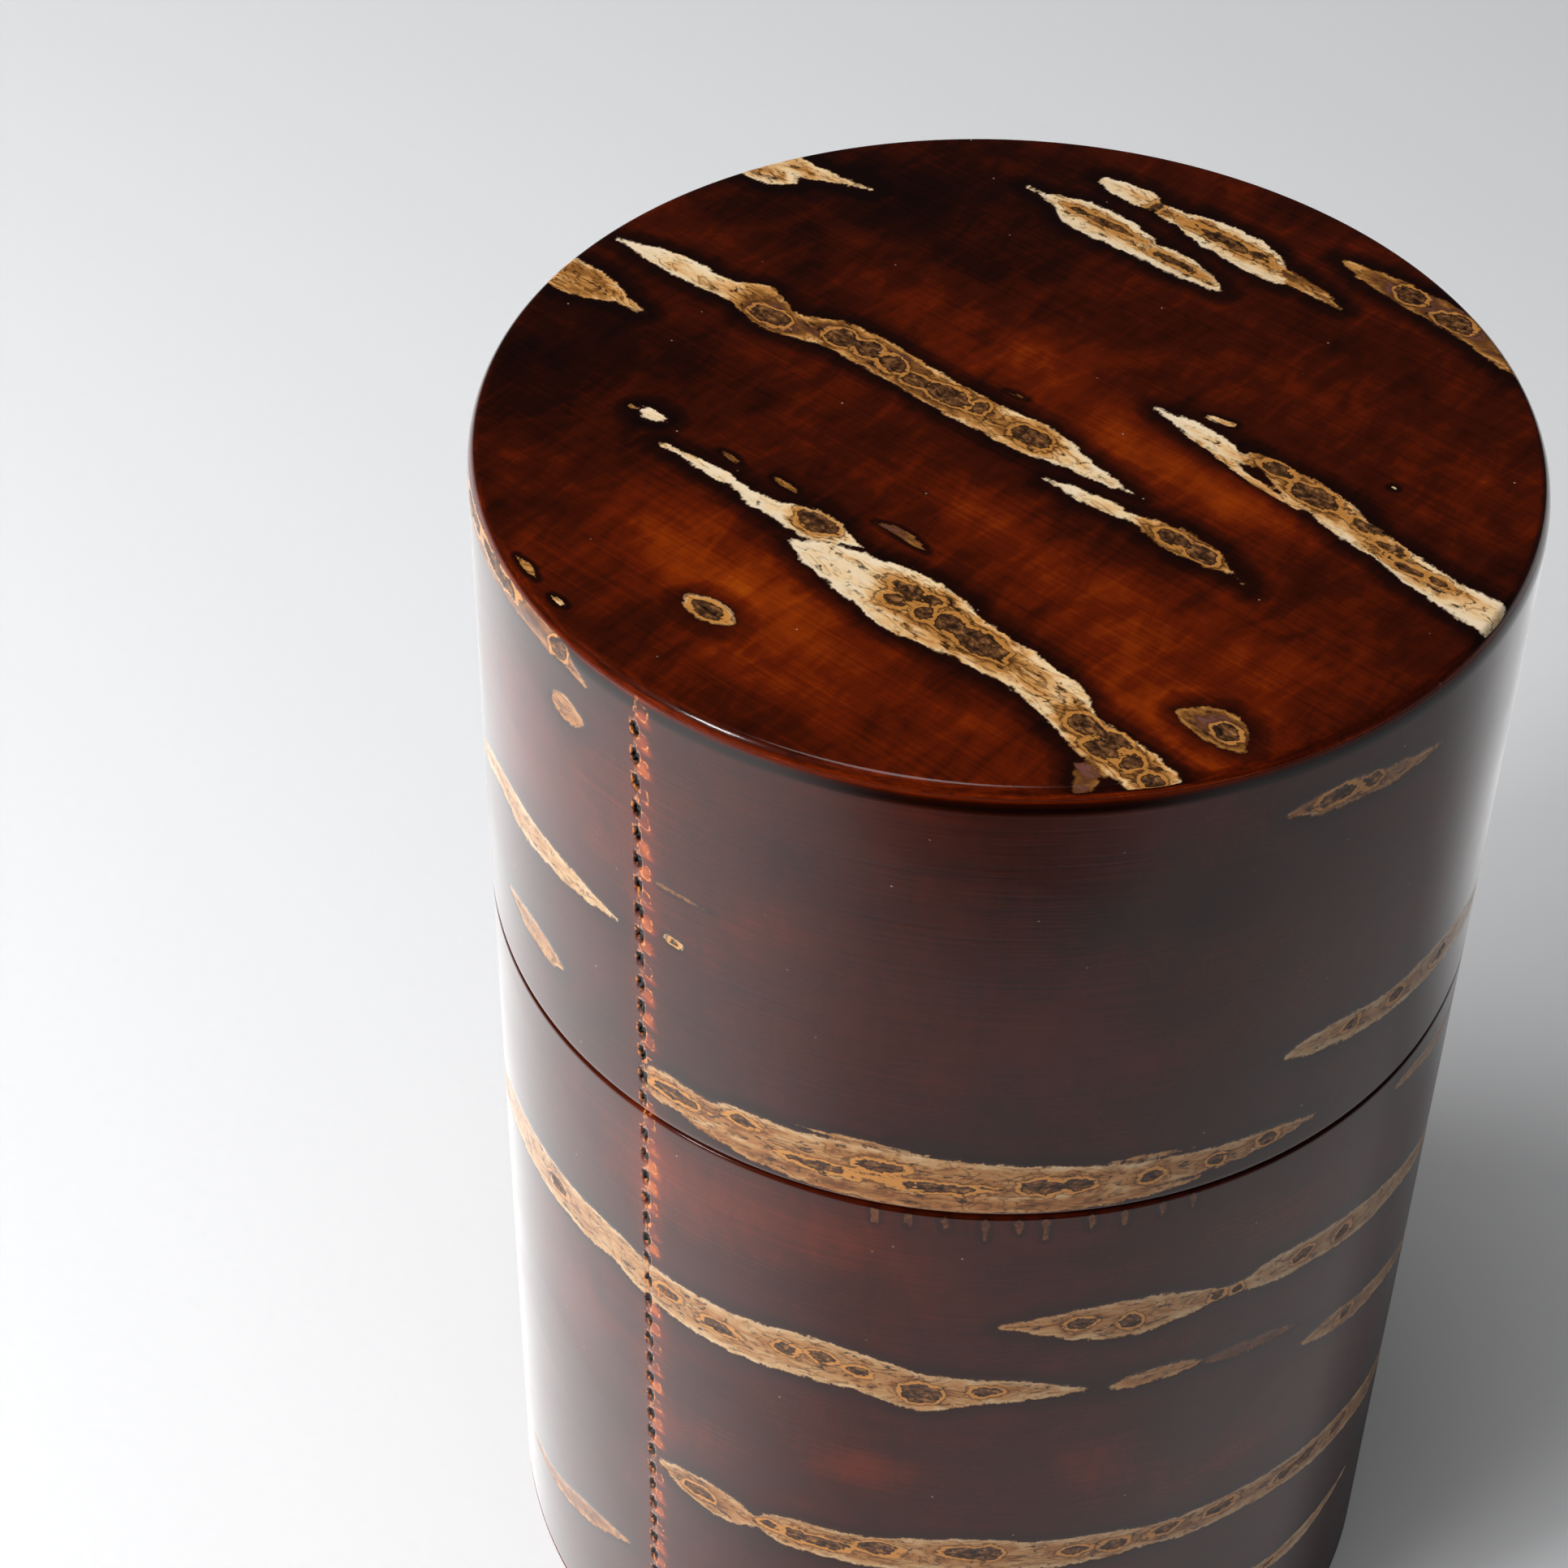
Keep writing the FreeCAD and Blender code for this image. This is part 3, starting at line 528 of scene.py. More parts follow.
lidTop = {
    "name": "LidTopBark", "node": "lid_top_bark", "body": "lid", "slot": "polished_bark",
    "finish": polishedBark, "faceDown": False, "net": 232, "rounding": (1.0, 2.0), "seed": 3.0, "level": 0.36,
    "streaks": (
        {"tone": 0.35, "line": ((-39.5, 13.0, 1.2), (-37.5, 13.2, 1.3), (-35.5, 13.4, 1.5),
         (-33.6, 13.6, 0.5))},
        {"tone": 0.42, "line": ((-37, 16, 1.0), (-34, 15.6, 1.1), (-31.5, 16.2, 0.6), (-28, 17.1, 0.1))},
        {"tone": 0.55, "line": ((-40, -8, 1.6), (-37, -7.9, 2.0), (-34.5, -7.7, 1.5), (-32.5, -7.6, 0.7),
         (-29.6, -7.8, 0.1))},
        # the long streak across the middle: a pale tongue, then a chain of pores
        {"tone": (0.2, 0.2, 0.62, 0.6, 0.58, 0.5, 0.3, 0.2), "line": ((-38.2, -1.8, 0.1), (-36, -1.6, 0.55),
         (-34, -1.4, 1.0), (-31, -1.2, 1.25), (-28.5, -1.2, 1.1), (-26, -0.7, 1.3), (-24.4, -0.5, 1.9),
         (-22, -1.4, 1.6), (-19.5, -0.9, 1.5), (-17, 0.1, 1.75), (-13, 0.25, 1.9), (-9, 0, 1.75),
         (-5, -0.2, 1.8), (-1, -0.1, 1.8), (2, 0.0, 1.9), (4, 0.1, 1.6), (6, 0, 1.1), (9, -0.2, 0.6),
         (11.8, -0.3, 0.1)),
         "pores": ((-22.3, -1.4, 1.6, 0.8), (-16.4, 0.1, 1.2, 0.9), (-14, 0.4, 1.0, 0.8),
         (-11.3, 0.2, 1.1, 0.8), (-8.6, -0.3, 0.9, 0.6), (-5.6, 0.0, 1.7, 0.9), (-3, 0.4, 0.6, 0.6),
         (2.1, 0.1, 1.5, 0.95))},
        {"tone": (0.2, 0.3, 0.65, 0.6), "line": ((5.8, -3.1, 0.1), (8, -2.9, 0.45), (10, -2.8, 0.65),
         (12, -2.6, 0.6), (14.2, -2.4, 0.45), (15.5, -2.3, 0.95), (18, -2.3, 1.3), (20.5, -2.4, 0.95),
         (22, -2.7, 0.3), (24.5, -3.1, 0.05)),
         "pores": ((16.9, -2.3, 1.1, 0.65), (19.7, -2.4, 1.1, 0.7))},
        # the near streak, in two parts that touch
        {"tone": 0.12, "line": ((-21.2, -16.85, 0.35), (-20.2, -16.8, 0.6), (-19.2, -16.8, 0.3))},
        {"tone": 0.6, "line": ((-22.3, -17.1, 0.25), (-21.7, -17.1, 0.2))},
        {"tone": (0.3, 0.1, 0.15, 0.2, 0.2), "line": ((-17.5, -18.9, 0.1), (-15, -18.8, 0.3),
         (-13, -18.7, 0.6), (-11.5, -18.75, 0.65), (-10, -18.8, 0.3), (-8, -19.1, 0.75), (-6, -19.0, 0.85),
         (-4, -18.6, 1.4), (-2.5, -18.4, 1.5), (-1, -18.3, 0.95), (0.4, -18.2, 0.35), (1.4, -18.1, 0.05)),
         "pores": ((-2.8, -18.1, 1.55, 0.95),)},
        {"tone": (0.1, 0.08, 0.16, 0.38, 0.46, 0.36, 0.3, 0.4, 0.46, 0.38), "line": ((-3.0, -20.9, 0.1),
         (-1.8, -20.9, 0.7), (0, -20.7, 1.5), (2, -20.6, 2.0), (4, -20.6, 2.4), (6, -20.5, 2.8),
         (8, -20.6, 3.1), (10, -20.6, 2.9), (12, -20.8, 2.4), (14, -20.7, 2.15), (16, -20.8, 2.0),
         (18, -20.8, 1.9), (20, -21.0, 1.9), (22, -21.5, 1.95), (24, -22.4, 1.6), (26, -23.0, 1.75),
         (28, -23.1, 1.85), (30, -23.4, 1.85), (32, -23.4, 1.4), (34, -23.3, 0.8)),
         "pores": ((6.9, -19.5, 1.3, 0.55), (8.9, -19.2, 0.6, 0.45), (6.8, -21.0, 0.7, 0.5),
         (9.2, -20.7, 0.55, 0.6), (11.4, -20.3, 1.15, 0.85), (14.2, -20.5, 2.1, 0.95),
         (24.6, -22.3, 1.15, 0.8), (27, -22.1, 1.0, 0.55), (27.1, -23.5, 1.1, 0.65),
         (29.3, -23.1, 0.65, 0.75), (31.5, -23.6, 0.75, 0.6))},
        {"tone": 0.3, "line": ((-4, -30.5, 0.3), (-3.2, -30.5, 0.85), (-1.9, -30.5, 1.15),
         (-0.7, -30.5, 0.85), (0.1, -30.5, 0.3)),
         "pores": ((-2.0, -30.55, 1.25, 0.6),)},
        {"tone": 0.72, "line": ((28.8, -16.9, 0.4), (30.2, -16.6, 1.3), (31.4, -16.4, 1.75),
         (32.6, -16.7, 1.3), (33.8, -17.3, 0.4)),
         "pores": ((32.2, -16.5, 0.9, 0.6),)},
        {"tone": 0.95, "line": ((26.9, -25.6, 0.3), (28, -26.2, 0.85), (28.3, -27.6, 0.3))},
        {"tone": 0.2, "line": ((-24.7, 0.5, 0.4), (-23.9, 0.5, 0.3))},
        {"tone": 0.9, "line": ((-2.9, 3.3, 0.1), (-2, 3.4, 0.25), (-1, 3.5, 0.1))},
        {"tone": 0.55, "line": ((-11, -36.8, 0.15), (-10.2, -36.9, 0.3), (-9.5, -36.9, 0.1))},
        {"tone": 0.25, "line": ((25.2, 13.2, 0.2), (25.5, 13.2, 0.2))},
        {"tone": 0.8, "line": ((16.4, 9.8, 0.2), (17.5, 9.5, 0.5), (18.6, 9.4, 0.2))},
        {"tone": 0.9, "line": ((-13.6, -16.6, 0.1), (-12.4, -16.7, 0.35), (-11.3, -16.8, 0.1))},
        {"tone": 0.9, "line": ((-8.7, -16.3, 0.1), (-7.4, -16.4, 0.4), (-6.1, -16.5, 0.1))},
        {"tone": 0.95, "line": ((0.2, -15.3, 0.1), (1.8, -15, 0.42), (3.4, -15.1, 0.45), (5.2, -15.4, 0.1))},
        {"tone": 0.7, "line": ((-16, -35.3, 0.1), (-14.5, -35.7, 0.35), (-13, -36.2, 0.1))},
        # the far streaks
        {"tone": 0.12, "line": ((-19, 26.0, 0.1), (-17, 26, 0.4), (-15, 26.1, 1.1), (-13.5, 25.9, 1.85),
         (-12, 25.8, 2.05), (-10, 25.8, 1.9), (-8, 25.6, 1.6), (-6.5, 25.3, 1.3), (-4.5, 25.4, 1.4),
         (-2.5, 25.3, 1.2), (-0.5, 25.1, 0.8), (1.4, 24.6, 0.1)),
         "pores": ((-11.2, 26.2, 2.2, 0.35), (-3.5, 25.5, 1.5, 0.3))},
        {"tone": 0.2, "line": ((-15, 31, 0.5), (-13, 30.9, 1.1), (-11, 31.0, 1.1), (-9.6, 30.9, 0.6),
         (-8, 30.7, 1.0), (-6.8, 30.7, 0.9), (-5.6, 30.8, 1.4), (-4, 30.7, 1.85), (-2, 30.6, 1.95),
         (0, 30.4, 1.95), (1.5, 30, 1.7), (3, 29.6, 1.1), (3.6, 29.4, 0.8)),
         "pores": ((-2.3, 30.7, 3.0, 0.4), (-9.6, 30.9, 0.35, 0.7))},
        {"tone": 0.62, "line": ((2.5, 29.9, 0.9), (4.5, 29.8, 0.85), (7, 29.6, 0.6), (9.5, 29.1, 0.1))},
        {"tone": 0.72, "line": ((5.5, 34.7, 0.1), (8, 34.4, 0.8), (10, 34.3, 1.15), (13, 34.1, 1.4),
         (15, 34, 1.4), (17, 33.7, 1.5), (19, 33.3, 1.3), (21, 32.4, 1.0), (23, 31.7, 0.7), (25, 31.1, 0.4)),
         "pores": ((12.5, 34.3, 1.2, 0.9), (17, 33.6, 1.5, 0.9))},
        # the streak that runs out over the right edge
        {"tone": (0.1, 0.1, 0.3, 0.5), "line": ((6.7, 9.25, 0.1), (8.5, 9.1, 0.5), (10.5, 9.0, 0.8),
         (12.5, 8.8, 0.9), (14.5, 8.5, 0.6), (16.5, 8.6, 0.2))},
        {"tone": 0.5, "line": ((9, 8.4, 0.1), (13, 7.8, 0.3), (17, 7.0, 0.4), (21.5, 6.5, 0.3))},
        {"tone": (0.55, 0.5, 0.3, 0.18, 0.2, 0.15), "line": ((15.2, 9.3, 0.3), (17, 9.2, 0.8), (19, 8.8, 1.2),
         (21, 8.4, 1.6), (23, 8.2, 1.6), (25, 7.5, 1.5), (27, 7.0, 1.35), (29, 6.8, 1.25), (31, 6.4, 1.4),
         (33, 6.0, 1.5), (35, 5.7, 1.5), (37, 5.7, 1.7), (40, 5.4, 1.7)),
         "pores": ((21.7, 8.5, 1.75, 0.9), (17.9, 9.2, 1.1, 0.55), (26.6, 8.1, 1.0, 0.35),
         (29, 7.3, 0.9, 0.35), (31.4, 6.2, 1.1, 0.3), (33.6, 6.4, 0.7, 0.25))},
        {"tone": 0.5, "line": ((10.1, 11.0, 0.25), (11.2, 11.1, 0.4), (12.2, 11.4, 0.3))},
    ),
    # dark cracks in the cork
    "cracks": (((17.6, -20.8, 0.05), (18.8, -20.5, 0.12), (20, -20.6, 0.05)),
               ((20.5, -20.6, 0.05), (21.6, -21.0, 0.12), (22.5, -21.6, 0.05)),
               ((0.4, -19.8, 0.05), (2.2, -19.5, 0.1), (4.0, -19.9, 0.09), (5.6, -19.6, 0.05)),
               ((-2.8, -30.5, 0.05), (-2.0, -30.5, 0.16), (-1.2, -30.6, 0.05)),
               ((2.8, -21.4, 0.03), (5.0, -22.2, 0.1), (8.0, -22.5, 0.08), (10.2, -22.3, 0.03))),
    # (x, y, reach x, reach y, how much brighter)
    "glows": ((-4, 7, 11, 4, 0.2), (12, 4, 9, 3, 0.3), (19, 4, 6, 2.6, 0.2), (-2, -28, 9, 5, 0.3),
              (-9, -25, 5, 4, 0.12), (30, -18.5, 8, 3.2, 0.36), (22, -13, 14, 5, 0.16), (30, -8, 10, 6, 0.12),
              (-28, 18, 14, 11, -0.26), (-30, -16, 10, 9, -0.22), (6, -10, 13, 3.5, 0.2),
              (12, -29, 15, 5, 0.18), (-20, 7, 7, 4, 0.1), (26, 18, 12, 9, 0.05), (4, 20, 14, 5, 0.05),
              (14, -34, 10, 3, 0.1)),
}
lidTopBark = makeBarkDisc(lidTop)
print("lid top made:", len(lidTopBark.data.vertices), "points")

baseStreaks = rowStreaks(
    ((-22, 20, 26, 1.6), (4, 9, 22, 1.9), (-30, -3, 30, 1.5), (8, -12, 20, 1.4), (-20, -22, 28, 1.8),
     (-6, 30, 18, 1.2)),
    ((0.15, 0.6), (0.35, 1.0), (0.55, 0.8), (0.75, 1.0), (0.9, 0.5)),
    sway=(0.5, 9), tones=(0.2, 0.07), seed=40)
baseDisc = {
    "name": "BaseBark", "node": "base_bark", "body": "body", "slot": "polished_bark",
    "finish": polishedBark, "faceDown": True, "net": 150, "rounding": (0.5, 0.5), "seed": 17.0, "level": 0.38,
    "streaks": baseStreaks,
    "glows": ((10, 16, 14, 6, 0.25), (-12, -12, 12, 5, 0.3), (-25, 10, 10, 10, -0.15)),
}
makeBarkDisc(baseDisc)
print("base made")


# bark bent round a wall
def roundedBox(x, y, halfX, halfY, corner):
    # mm inside (+) a box with rounded corners
    dx, dy = np.abs(x) - halfX + corner, np.abs(y) - halfY + corner
    return corner - np.hypot(np.maximum(dx, 0), np.maximum(dy, 0)) - np.minimum(np.maximum(dx, dy), 0)


def makeBarkWrap(spec):
    # columns round the wall, close together at the seam, and a closed profile: outside, edges, inside
    radius, bottom, top = roundSize(spec["node"])
    bore = radius - spec["thick"]
    around = 2 * math.pi * radius
    steps = spec["columns"]
    u = np.concatenate([np.arange(a, b - 1e-6, (b - a) / round((b - a) / s)) for a, b, s in steps])
    u = u * around / (steps[-1][1] - steps[0][0])
    roundLow, roundHigh = spec["rounding"]
    turn = np.linspace(0, math.pi / 2, 5)
    closeRows = 13  # closer together at the upper edge
    rows = np.concatenate([np.linspace(bottom + roundLow, top - 1.5, spec["rows"] - closeRows - 1),
                           np.linspace(top - 1.4, top - roundHigh - 0.012, closeRows),
                           [top - roundHigh]])
    # the shoulder is the rest of the ellipse that the disc above begins
    goesIn, goesDown, above = spec.get("shoulder", (0, 1, 1))
    shoulder = goesIn * (1 - np.sqrt(1 - np.clip(1 - (above + top - rows) / goesDown, 0, 1) ** 2))
    profile = list(zip(radius - shoulder, rows))
    profile += [(radius - shoulder[-1] - roundHigh * (1 - math.cos(r)), top - roundHigh * (1 - math.sin(r)))
                for r in turn[1:]]
    profile += [(bore, top), (bore, top - 2), (bore, bottom + 2), (bore, bottom)]
    profile += [(radius - roundLow * (1 - math.sin(r)), bottom + roundLow * (1 - math.cos(r)))
                for r in turn[:-1]]
    r, z = (np.array(column) for column in zip(*profile))
    columns, points = len(u), len(r)
    uu, rr = np.meshgrid(u, r, indexing="ij")
    zz = np.meshgrid(u, z, indexing="ij")[1]
    outer = np.zeros((columns, points), bool)
    outer[:, :len(rows) + len(turn) - 1] = True
    uFlat, zFlat = uu.ravel(), zz.ravel()
    streak, pore, tone, shade = drawBark(uFlat, zFlat, spec["streaks"], spec["glows"], spec["level"])
    if "rimRedAndShade" in spec:  # rubbed red along the upper edge, with a dark line under it
        height = spec["rimRedAndShade"]
        shade = shade + 0.24 * smooth(height, 0.5 * height, top - zFlat)
        # painted shade: a dark line under the rim, where the rounded edge leaves the wall in shade
        shade = shade - 0.34 * np.exp(-((top - zFlat - 3.4 * height) / (1.7 * height)) ** 2)
    tab = np.full(len(uFlat), outside)
    pit = np.full(len(uFlat), outside)
    if "seam" in spec:  # teeth at one end of the sheet, pits between them
        seam = spec["seam"]
        count = int((top - bottom) / seam["pitch"])
        step = np.clip(np.floor((zFlat - bottom) / seam["pitch"]), 0, count - 1)
        v = zFlat - bottom - (step + 0.5) * seam["pitch"]
        jitter = 0.12 * np.sin(step * 2.7) + 0.06 * np.sin(step * 7.3)
        pitWide, pitTall = seam["pit"]
        toothWide, toothTall = seam["tooth"]
        # the pits are cut in a little and drawn near-black as painted shade; the hairline is the dark joint
        # of the two ends
        pit = roundedBox(uFlat + 0.08, v + 0.5 * uFlat - 0.12 + 0.5 * jitter,
                         pitWide + 0.25 * jitter, pitTall, 0.02)
        below = v + 0.4
        below = np.where(np.abs(below) < np.abs(below - seam["pitch"]), below, below - seam["pitch"])
        tab = roundedBox(uFlat - 0.62 - 0.2 * jitter, below + 0.3 * uFlat,
                         toothWide + 0.3 * jitter, toothTall + 0.6 * jitter, 0.2)
        heat = 0.5 + 0.5 * np.sin(step * 1.9 + 0.7 * np.sin(step * 0.8))
        pit = np.maximum(pit, 0.04 - np.abs(uFlat))  # the hairline between the two ends
        shade = shade + 0.12 * np.exp(-((uFlat - 0.3) / 1.9) ** 2)
        shade = shade + smooth(-0.45, 0.45, tab - 0.3 * below) * (0.06 + seam["glow"] * heat)
        cut = smooth(-0.02, 0.12, pit) * seam["depth"]
        lift = 0.03 * smooth(-0.1, 0.15, tab)
    else:
        cut = lift = 0
    relief = np.minimum(barkRelief(uFlat, zFlat, streak, pore) - cut + lift, 0)
    rFlat = rr.ravel() + np.where(outer.ravel(), relief, 0)
    angle = uFlat / radius
    xyz = np.stack([rFlat * np.sin(angle), -rFlat * np.cos(angle), zFlat], -1)
    mesh = bpy.data.meshes.new(spec["name"])
    mesh.from_pydata((xyz * mm).tolist(), [], ringQuads(columns, points).tolist())
    # the pattern is broken where the sheet's ends meet
    ownU = np.where(uFlat < 0, uFlat + around, uFlat) if "seam" in spec else uFlat
    putAttributes(mesh, {"place": (ownU, zFlat, np.where(outer.ravel(), spec["seed"], spec["seed"] + 31)),
                         "bark": (streak, pore, tone), "seam": (tab, pit, shade)})
    # a map for the bake: the turn round the wall one way, the profile the other
    layer = mesh.uv_layers.new(name="OFBake")
    lengths = np.hypot(np.diff(np.append(r, r[0])), np.diff(np.append(z, z[0])))
    along = np.concatenate([[0], np.cumsum(lengths)]) / np.cumsum(lengths)[-1]
    turnShare = np.append((u - u[0]) / around, 1.0)
    c, p = np.divmod(np.arange(columns * points), points)
    uv = np.stack([turnShare[np.stack([c, c + 1, c + 1, c], -1)],
                   along[np.stack([p, p, p + 1, p + 1], -1)]], -1)
    layer.data.foreach_set("uv", (0.003 + 0.994 * uv).astype(np.float32).ravel())
    return finishPiece(mesh, spec["name"], spec["finish"], spec["body"], spec["node"])


# (from mm, to mm, spacing) along the turn, from the seam
wallColumns = ((-38, -3, 0.5), (-3, -0.75, 0.2), (-0.75, 1.25, 0.08), (1.25, 3, 0.2), (3, 96, 0.5),
               (96, 213.327, 1.0))
# mm, with half sizes of pits and teeth; the glow is how much redder a tooth is
wallSeam = {"pitch": 2.5, "depth": 0.3, "pit": (0.37, 0.54), "tooth": (0.42, 0.62), "glow": 0.5}
lidWall = {
    "name": "LidWallBark", "node": "lid_bark_wrap", "body": "lid", "slot": "polished_bark",
    "finish": wallBark, "thick": 0.6, "rows": 144, "rimRedAndShade": 0.2, "shoulder": (1.0, 2.0, 0.8),
    "rounding": (0.42, 0.02), "columns": wallColumns, "seed": 5.0, "level": 0.34, "seam": wallSeam,
    "streaks": [
        {"tone": 0.7, "line": ((-36, 117.2, 0.2), (-30, 117.8, 0.9), (-22, 118.1, 1.0), (-15, 118.3, 1.0),
         (-10.5, 118.3, 1.0), (-8, 118.1, 0.9), (-5, 117, 0.1)),
         "pores": ((-8.3, 118.2, 0.9, 0.8), (-18, 118.5, 2.6, 0.5), (-25, 118.3, 2.2, 0.5))},
        {"tone": 0.6, "line": ((-8.5, 113.2, 0.8), (-7.4, 113.2, 1.2), (-6.3, 113.2, 0.8))},
        {"tone": 0.3, "line": ((-27, 94.0, 0.5), (-24, 95.3, 0.9), (-20, 96.6, 1.1), (-15, 96.5, 1.5),
         (-10, 96.5, 1.2), (-6, 96.4, 0.8), (-2.4, 96.2, 0.1))},
        {"tone": 0.5, "line": ((-19, 85.8, 0.3), (-15, 85.7, 1.1), (-12, 85.5, 1.1), (-9.6, 85.5, 0.2))},
        {"tone": 0.8, "line": ((0.7, 102.7, 0.1), (3, 102.7, 0.25), (6.7, 102.6, 0.1))},
        {"tone": 0.05, "line": ((2.7, 97.7, 0.5), (3.6, 97.6, 0.5)), "pores": ((3.15, 97.65, 0.2, 0.16),)},
        {"tone": 0.45, "line": ((24, 83.2, 0.1), (27, 82.9, 0.35), (30, 82.8, 0.1))},
        {"tone": 0.6, "line": ((47.5, 114.4, 0.3), (50, 114.4, 0.9), (53, 114.3, 1.1), (56, 113.8, 0.9),
         (59, 113.6, 0.6), (62, 113.4, 0.1)),
         "pores": ((51.7, 114.5, 1.4, 0.55), (54.7, 114.3, 0.65, 0.5))},
        {"tone": 0.35, "line": ((50.5, 89, 0.3), (54, 88.8, 1.2), (60, 88, 1.3), (66, 87.5, 1.5),
         (72, 86.5, 1.5), (78, 85, 1.2), (86, 84, 0.8), (92, 83.5, 0.1)),
         "pores": ((62.3, 87.9, 0.8, 0.5), (57, 88.6, 0.6, 0.4), (69, 87, 0.9, 0.5))},
        {"tone": (0.45, 0.35, 0.4, 0.35, 0.42, 0.5), "line": ((1.6, 81.4, 1.7), (3, 81.5, 1.7),
         (6, 81.4, 1.4), (9, 81.6, 1.8), (13, 81.3, 2.0), (17, 81.2, 2.4), (22, 81.2, 2.3), (27, 81, 2.2),
         (31, 81, 1.9), (36, 80.8, 1.7), (40, 80.6, 1.5), (45, 80.5, 1.2), (50, 80.4, 0.9),
         (54.5, 80.2, 0.2)),
         "pores": ((3, 81.4, 1.6, 0.5), (9, 82.2, 0.8, 0.4), (15.5, 80.2, 1.8, 0.35), (20, 81.6, 1.5, 0.5),
         (24.5, 80.2, 2.2, 0.35), (32, 80.6, 1.3, 0.75), (34.7, 80.6, 0.9, 0.6), (40.3, 80.3, 0.7, 0.5),
         (45.5, 80.1, 0.5, 0.4), (50, 80.4, 0.7, 0.45))},
        {"tone": 0.5, "line": ((13.5, 83.9, 0.1), (18, 84.0, 0.35), (23.5, 83.7, 0.1))},
        {"tone": 0.62, "line": ((4, 79.6, 0.2), (9, 79.3, 0.8), (15, 78.8, 0.9), (22, 78.6, 0.9),
         (30, 78.6, 0.8), (38, 78.6, 0.6), (44, 78.8, 0.2)),
         "pores": ()},
        {"tone": 0.55, "line": ((37, 82.7, 0.1), (40, 82.7, 0.3), (43.5, 82.5, 0.1))},
    ] + wildStreaks(11, 6, (96, 168), (80, 118)),
    "glows": ((22, 85, 26, 5, -0.08), (-14, 104, 12, 8, 0.15), (10, 103, 9, 4, 0.07), (35, 108, 20, 7, -0.08),
              (68, 100, 18, 16, 0.1), (130, 98, 24, 9, 0.2), (180, 88, 18, 7, 0.16)),
}
bodyWall = {
    "name": "BodyWallBark", "node": "body_bark_wrap", "body": "body", "slot": "polished_bark",
    "finish": wallBark, "thick": 0.6, "rows": 214, "rounding": (0.2, 0.35),
    "columns": wallColumns, "seed": 9.0, "level": 0.34, "seam": wallSeam,
    "streaks": [
        {"tone": (0.4, 0.3, 0.35, 0.3, 0.35, 0.4), "line": ((-36, 52.5, 0.2), (-30, 54.2, 1.3),
         (-26, 55.5, 1.5), (-22, 57, 2), (-15, 57.8, 2.2), (-8, 58, 2.2), (-4, 58.2, 2), (0, 57.2, 2.2),
         (5, 56.8, 2.4), (10, 56.8, 2.5), (15, 57.3, 2.6), (20, 56.9, 2.3), (24, 55.8, 2.3), (28, 56.2, 1.6),
         (32, 56.3, 1.2), (37, 55.8, 0.2)),
         "pores": ((13, 57.4, 0.7, 0.45), (16, 57.8, 0.8, 0.5), (19, 57.1, 0.7, 0.5), (24, 55.6, 1.5, 1.1),
         (29, 56.3, 0.9, 0.5), (7, 56.6, 1.2, 0.5), (2, 57.3, 0.9, 0.5), (-12, 58, 1.2, 0.6))},
        {"tone": 0.55, "line": ((39, 55.4, 0.2), (41, 55.6, 0.75), (44.5, 55.7, 0.75), (46.8, 55.4, 0.2))},
        {"tone": 0.9, "line": ((47, 55.2, 0.2), (49, 55, 0.6), (53, 54.4, 0.6), (56.5, 53.6, 0.2))},
        {"tone": (0.5, 0.3, 0.35, 0.4), "line": ((30, 64.4, 0.3), (33, 64.3, 1), (36.5, 64, 1.9),
         (40, 63.8, 2.2), (44, 63.7, 1.7), (47, 63.5, 0.8), (50, 63.2, 0.7), (53, 63.2, 1.5), (58, 62.5, 1.6),
         (63, 61.5, 1.6), (70, 60, 1.3), (78, 57, 1), (88, 55, 0.2)),
         "pores": ((40.1, 63.3, 0.8, 0.7), (36, 64.2, 0.8, 0.5), (47.5, 63.4, 0.5, 0.4),
         (49.3, 63.2, 0.4, 0.4), (56, 62.8, 0.9, 0.6), (61, 61.8, 0.8, 0.5))},
        {"tone": 0.45, "line": ((58, 50, 0.3), (62, 49.3, 1.2), (66, 48, 1.2), (72, 46, 1), (78, 43, 0.8),
         (84, 41, 0.1)),
         "pores": ((64, 48.7, 0.8, 0.4),)},
        {"tone": 0.45, "line": ((1.3, 34, 0.5), (4, 33.5, 1.6), (7, 33.2, 2), (9.3, 33, 1.2),
         (10.6, 33.0, 0.7)),
         "pores": ((5, 33.3, 1.2, 0.6),)},
        {"tone": (0.4, 0.35, 0.4, 0.35, 0.45), "line": ((11, 33.2, 0.8), (13, 33.2, 1.8), (16, 33.4, 2),
         (20, 33.5, 2), (24, 34, 2.2), (29, 34.3, 2.4), (34, 34, 2), (40, 33.8, 1.8), (44, 33.5, 1.4),
         (48, 33, 1.6), (54, 32.5, 1.6), (60, 31.5, 1.7), (68, 30, 1.7), (76, 27.5, 1.4), (84, 26, 0.2))},
        {"tone": 0.6, "line": ((-22, 12, 0.3), (-15, 13.5, 1.0), (-9, 16, 1.2), (-3.5, 18, 0.2))},
        {"tone": 0.55, "line": ((64, 75.4, 0.1), (69, 74.6, 0.7), (76, 73, 0.8), (84, 72, 0.1))},
    ] + wildStreaks(23, 9, (96, 160), (8, 74)) + wildStreaks(33, 2, (12, 40), (7, 26)),
    "glows": ((15, 72, 11, 4, 0.12), (1, 71, 9, 6, 0.14), (20, 45, 4, 3, 0.2), (38, 45.5, 4, 3, 0.19),
              (5, 41, 5, 3, 0.12), (-9, 48, 8, 7, 0.12), (52, 70, 9, 3, 0.1), (52, 40, 8, 3, 0.12),
              (66, 48, 16, 24, 0.1), (140, 50, 20, 9, 0.2), (180, 25, 18, 8, 0.18), (110, 65, 14, 5, 0.15)),
}
